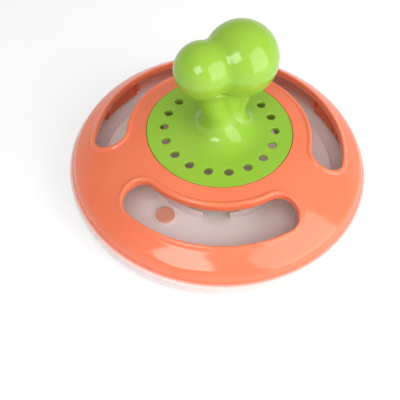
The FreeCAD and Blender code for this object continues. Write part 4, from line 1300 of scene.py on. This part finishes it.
def seen_directly(tree):
    """1 for rays from the camera, and for mirrored or passed rays."""
    path = tree.nodes.new("ShaderNodeLightPath")
    seen = sums(tree, "MAXIMUM", path.outputs["Is Camera Ray"], path.outputs["Is Glossy Ray"])
    return sums(tree, "MAXIMUM", seen, path.outputs["Is Transmission Ray"])


def white_world():
    world = bpy.data.worlds.new("White surroundings")
    bpy.context.scene.world = world
    world.use_nodes = True
    tree = world.node_tree
    background = tree.nodes["Background"]
    background.inputs["Color"].default_value = (1.0, 1.0, 1.0, 1.0)
    level, overhead = toy().studio.world_level, toy().studio.overhead_level
    split = tree.nodes.new("ShaderNodeSeparateXYZ")
    wire(tree, tree.nodes.new("ShaderNodeTexCoord").outputs["Generated"], split.inputs["Vector"])
    higher = ramp(tree, split.outputs["Z"], *HORIZON)
    path = tree.nodes.new("ShaderNodeLightPath")
    dimmer = sums(tree, "MULTIPLY", path.outputs["Is Glossy Ray"], 1.0 - overhead)
    white = sums(tree, "SUBTRACT", 1.0 - level, sums(tree, "MULTIPLY", dimmer, higher))
    rest = sums(tree, "MULTIPLY", seen_directly(tree), white)
    wire(tree, sums(tree, "ADD", rest, level), background.inputs["Strength"])


def studio_floor():
    tone = toy().colours.floor
    work = bmesh.new()
    bmesh.ops.create_grid(work, x_segments=8, y_segments=8, size=FLOOR_SIZE)
    mesh = bpy.data.meshes.new("studio_floor")
    work.to_mesh(mesh)
    work.free()
    floor = bpy.data.objects.new("studio_floor", mesh)
    bpy.context.scene.collection.objects.link(floor)
    material, tree, shader = new_finish("Pale paper")
    place = tree.nodes.new("ShaderNodeTexCoord").outputs["Object"]
    fibres = noise(tree, place, FIBRE_SCALE, 3.0)
    near = tuple(FIBRE_SHADE * value for value in tone) + (1.0,)
    wire(tree, blend_colours(tree, fibres, (*tone, 1.0), near), shader.inputs["Base Color"])
    shader.inputs["Roughness"].default_value = 0.9
    shader.inputs["Specular IOR Level"].default_value = 0.0
    shader.inputs["Emission Color"].default_value = (1.0, 1.0, 1.0, 1.0)
    glow = sums(tree, "MULTIPLY", seen_directly(tree), toy().studio.floor_glow)
    wire(tree, glow, shader.inputs["Emission Strength"])
    mesh.materials.append(material)


# Operators

BEVEL, FLOOR_BEVEL = 0.25, 0.3


class BuildPiece:
    """Shared by the operators that build the toy."""

    bl_options = {"REGISTER", "UNDO"}

    def execute(self, context):
        self.build()
        return {"FINISHED"}


class TREATTOY_OT_shell(BuildPiece, bpy.types.Operator):
    """Builds the domed shell with its three windows"""

    bl_idname = "treattoy.shell"
    bl_label = "Shell"

    def build(self):
        settle(shell_mesh().piece("shell_dome", bevel=BEVEL), "base", "shell", orange_plastic(),
               "top_shell")


class TREATTOY_OT_lid(BuildPiece, bpy.types.Operator):
    """Builds the lid with its scent holes and forked stem"""

    bl_idname = "treattoy.lid"
    bl_label = "Lid"

    def build(self):
        settle(lid_mesh().piece("lid_disc", bevel=BEVEL), "lid_set", "lid", green_plastic(), "lid")


class TREATTOY_OT_bone(BuildPiece, bpy.types.Operator):
    """Builds the bone-shaped handle"""

    bl_idname = "treattoy.bone"
    bl_label = "Bone handle"

    def build(self):
        settle(bone_mesh().piece("bone_handle"), "lid_set", "knob", green_plastic(), "bone_knob")


class TREATTOY_OT_bowl(BuildPiece, bpy.types.Operator):
    """Builds the weighted bowl"""

    bl_idname = "treattoy.bowl"
    bl_label = "Bowl"

    def build(self):
        settle(bowl_mesh().piece("bowl_body", bevel=BEVEL), "base", "bowl", bowl_plastic(), "base_bowl")


class TREATTOY_OT_raised_floor(BuildPiece, bpy.types.Operator):
    """Builds the raised floor with its gate ring and screw bosses"""

    bl_idname = "treattoy.raised_floor"
    bl_label = "Raised floor"

    def build(self):
        settle(tray_mesh().piece("raised_floor", bevel=FLOOR_BEVEL), "base", "tray", milky_plastic(),
               "floor_tray")


class TREATTOY_OT_plugs(BuildPiece, bpy.types.Operator):
    """Builds the plugs that cover the screws in the raised floor"""

    bl_idname = "treattoy.plugs"
    bl_label = "Screw plugs"

    def build(self):
        for number, place in enumerate(boss_places(), start=1):
            settle(plug_mesh(place).piece("screw_plug_%d" % number), "base", "plugs", plug_plastic(),
                   "floor_plug_%d" % number)


class TREATTOY_OT_rings(BuildPiece, bpy.types.Operator):
    """Builds the rubber foot ring, the lid's seal ring and the cap under the stem"""

    bl_idname = "treattoy.rings"
    bl_label = "Foot, seal and stem cap"

    def build(self):
        settle(foot_mesh().piece("foot_pad"), "base", "foot", matte_rubber(), "foot_ring")
        settle(seal_mesh().piece("seal_band"), "seal", "seal", soft_silicone(), "lid_seal")
        settle(stem_cap_mesh().piece("stem_cover"), "lid_set", "cap", green_plastic(), "stem_cap")


class TREATTOY_OT_metal(BuildPiece, bpy.types.Operator):
    """Gives the hidden ballast and screws their metal finishes"""

    bl_idname = "treattoy.metal"
    bl_label = "Ballast and screws"

    def build(self):
        for node, finish in (("ballast_ring", cast_iron()), ("ballast_screws", zinc_plate()),
                             ("tray_screws", zinc_plate()), ("knob_screw", zinc_plate())):
            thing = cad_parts[node]
            if not thing.material_slots:
                thing.data.materials.append(finish)
            for slot in thing.material_slots:
                slot.material = finish


class TREATTOY_OT_studio(BuildPiece, bpy.types.Operator):
    """Builds the pale floor, soft light and camera"""

    bl_idname = "treattoy.studio"
    bl_label = "Studio"

    def build(self):
        studio = toy().studio
        place_camera()
        white_world()
        studio_floor()
        softbox("Right softbox", studio.right_level, direction=-27.0, rise=20.0, distance=0.9,
                width=0.80, height=1.15)
        small = softbox("Left softbox", studio.left_level, direction=-107.0, rise=42.0, distance=0.9,
                        width=0.42, height=0.42, spin=45.0)
        small.visible_diffuse = False
        fill = softbox("Fill light", studio.fill_level, direction=-90.0, rise=55.0, distance=0.9,
                       width=0.5, height=0.5)
        fill.visible_glossy = False
        bpy.context.scene.view_settings.view_transform = "Standard"


class TREATTOY_PT_panel(bpy.types.Panel):
    """Lists the toy's pieces, sizes and colours"""

    bl_idname = "TREATTOY_PT_panel"
    bl_label = "Treat Toy"
    bl_space_type = "VIEW_3D"
    bl_region_type = "UI"
    bl_category = "Treat Toy"

    def draw(self, context):
        layout = self.layout
        for operator in OPERATORS:
            layout.operator(operator.bl_idname)
        groups = context.scene.treat_toy
        for part in ("shell", "lid", "bone", "base", "colours", "studio"):
            box = layout.box()
            group = getattr(groups, part)
            for name in group.__annotations__:
                box.prop(group, name)


OPERATORS = (TREATTOY_OT_shell, TREATTOY_OT_lid, TREATTOY_OT_bone, TREATTOY_OT_bowl,
             TREATTOY_OT_raised_floor, TREATTOY_OT_plugs, TREATTOY_OT_rings, TREATTOY_OT_metal,
             TREATTOY_OT_studio)
GROUPS = (TREATTOY_PG_shell, TREATTOY_PG_lid, TREATTOY_PG_bone, TREATTOY_PG_base,
          TREATTOY_PG_colours, TREATTOY_PG_studio, TREATTOY_PG_toy)
CLASSES = GROUPS + OPERATORS + (TREATTOY_PT_panel,)


def register():
    for entry in CLASSES:
        bpy.utils.register_class(entry)
    bpy.types.Scene.treat_toy = bpy.props.PointerProperty(
        type=TREATTOY_PG_toy, name="Treat toy", description="Sizes, colours and light")


def unregister():
    del bpy.types.Scene.treat_toy
    for entry in reversed(CLASSES):
        bpy.utils.unregister_class(entry)


def main():
    register()
    bpy.ops.treattoy.shell()
    bpy.ops.treattoy.lid()
    bpy.ops.treattoy.bone()
    bpy.ops.treattoy.bowl()
    bpy.ops.treattoy.raised_floor()
    bpy.ops.treattoy.plugs()
    bpy.ops.treattoy.rings()
    bpy.ops.treattoy.metal()
    bpy.ops.treattoy.studio()
    bpy.context.view_layer.update()


if __name__ == "__main__":
    main()
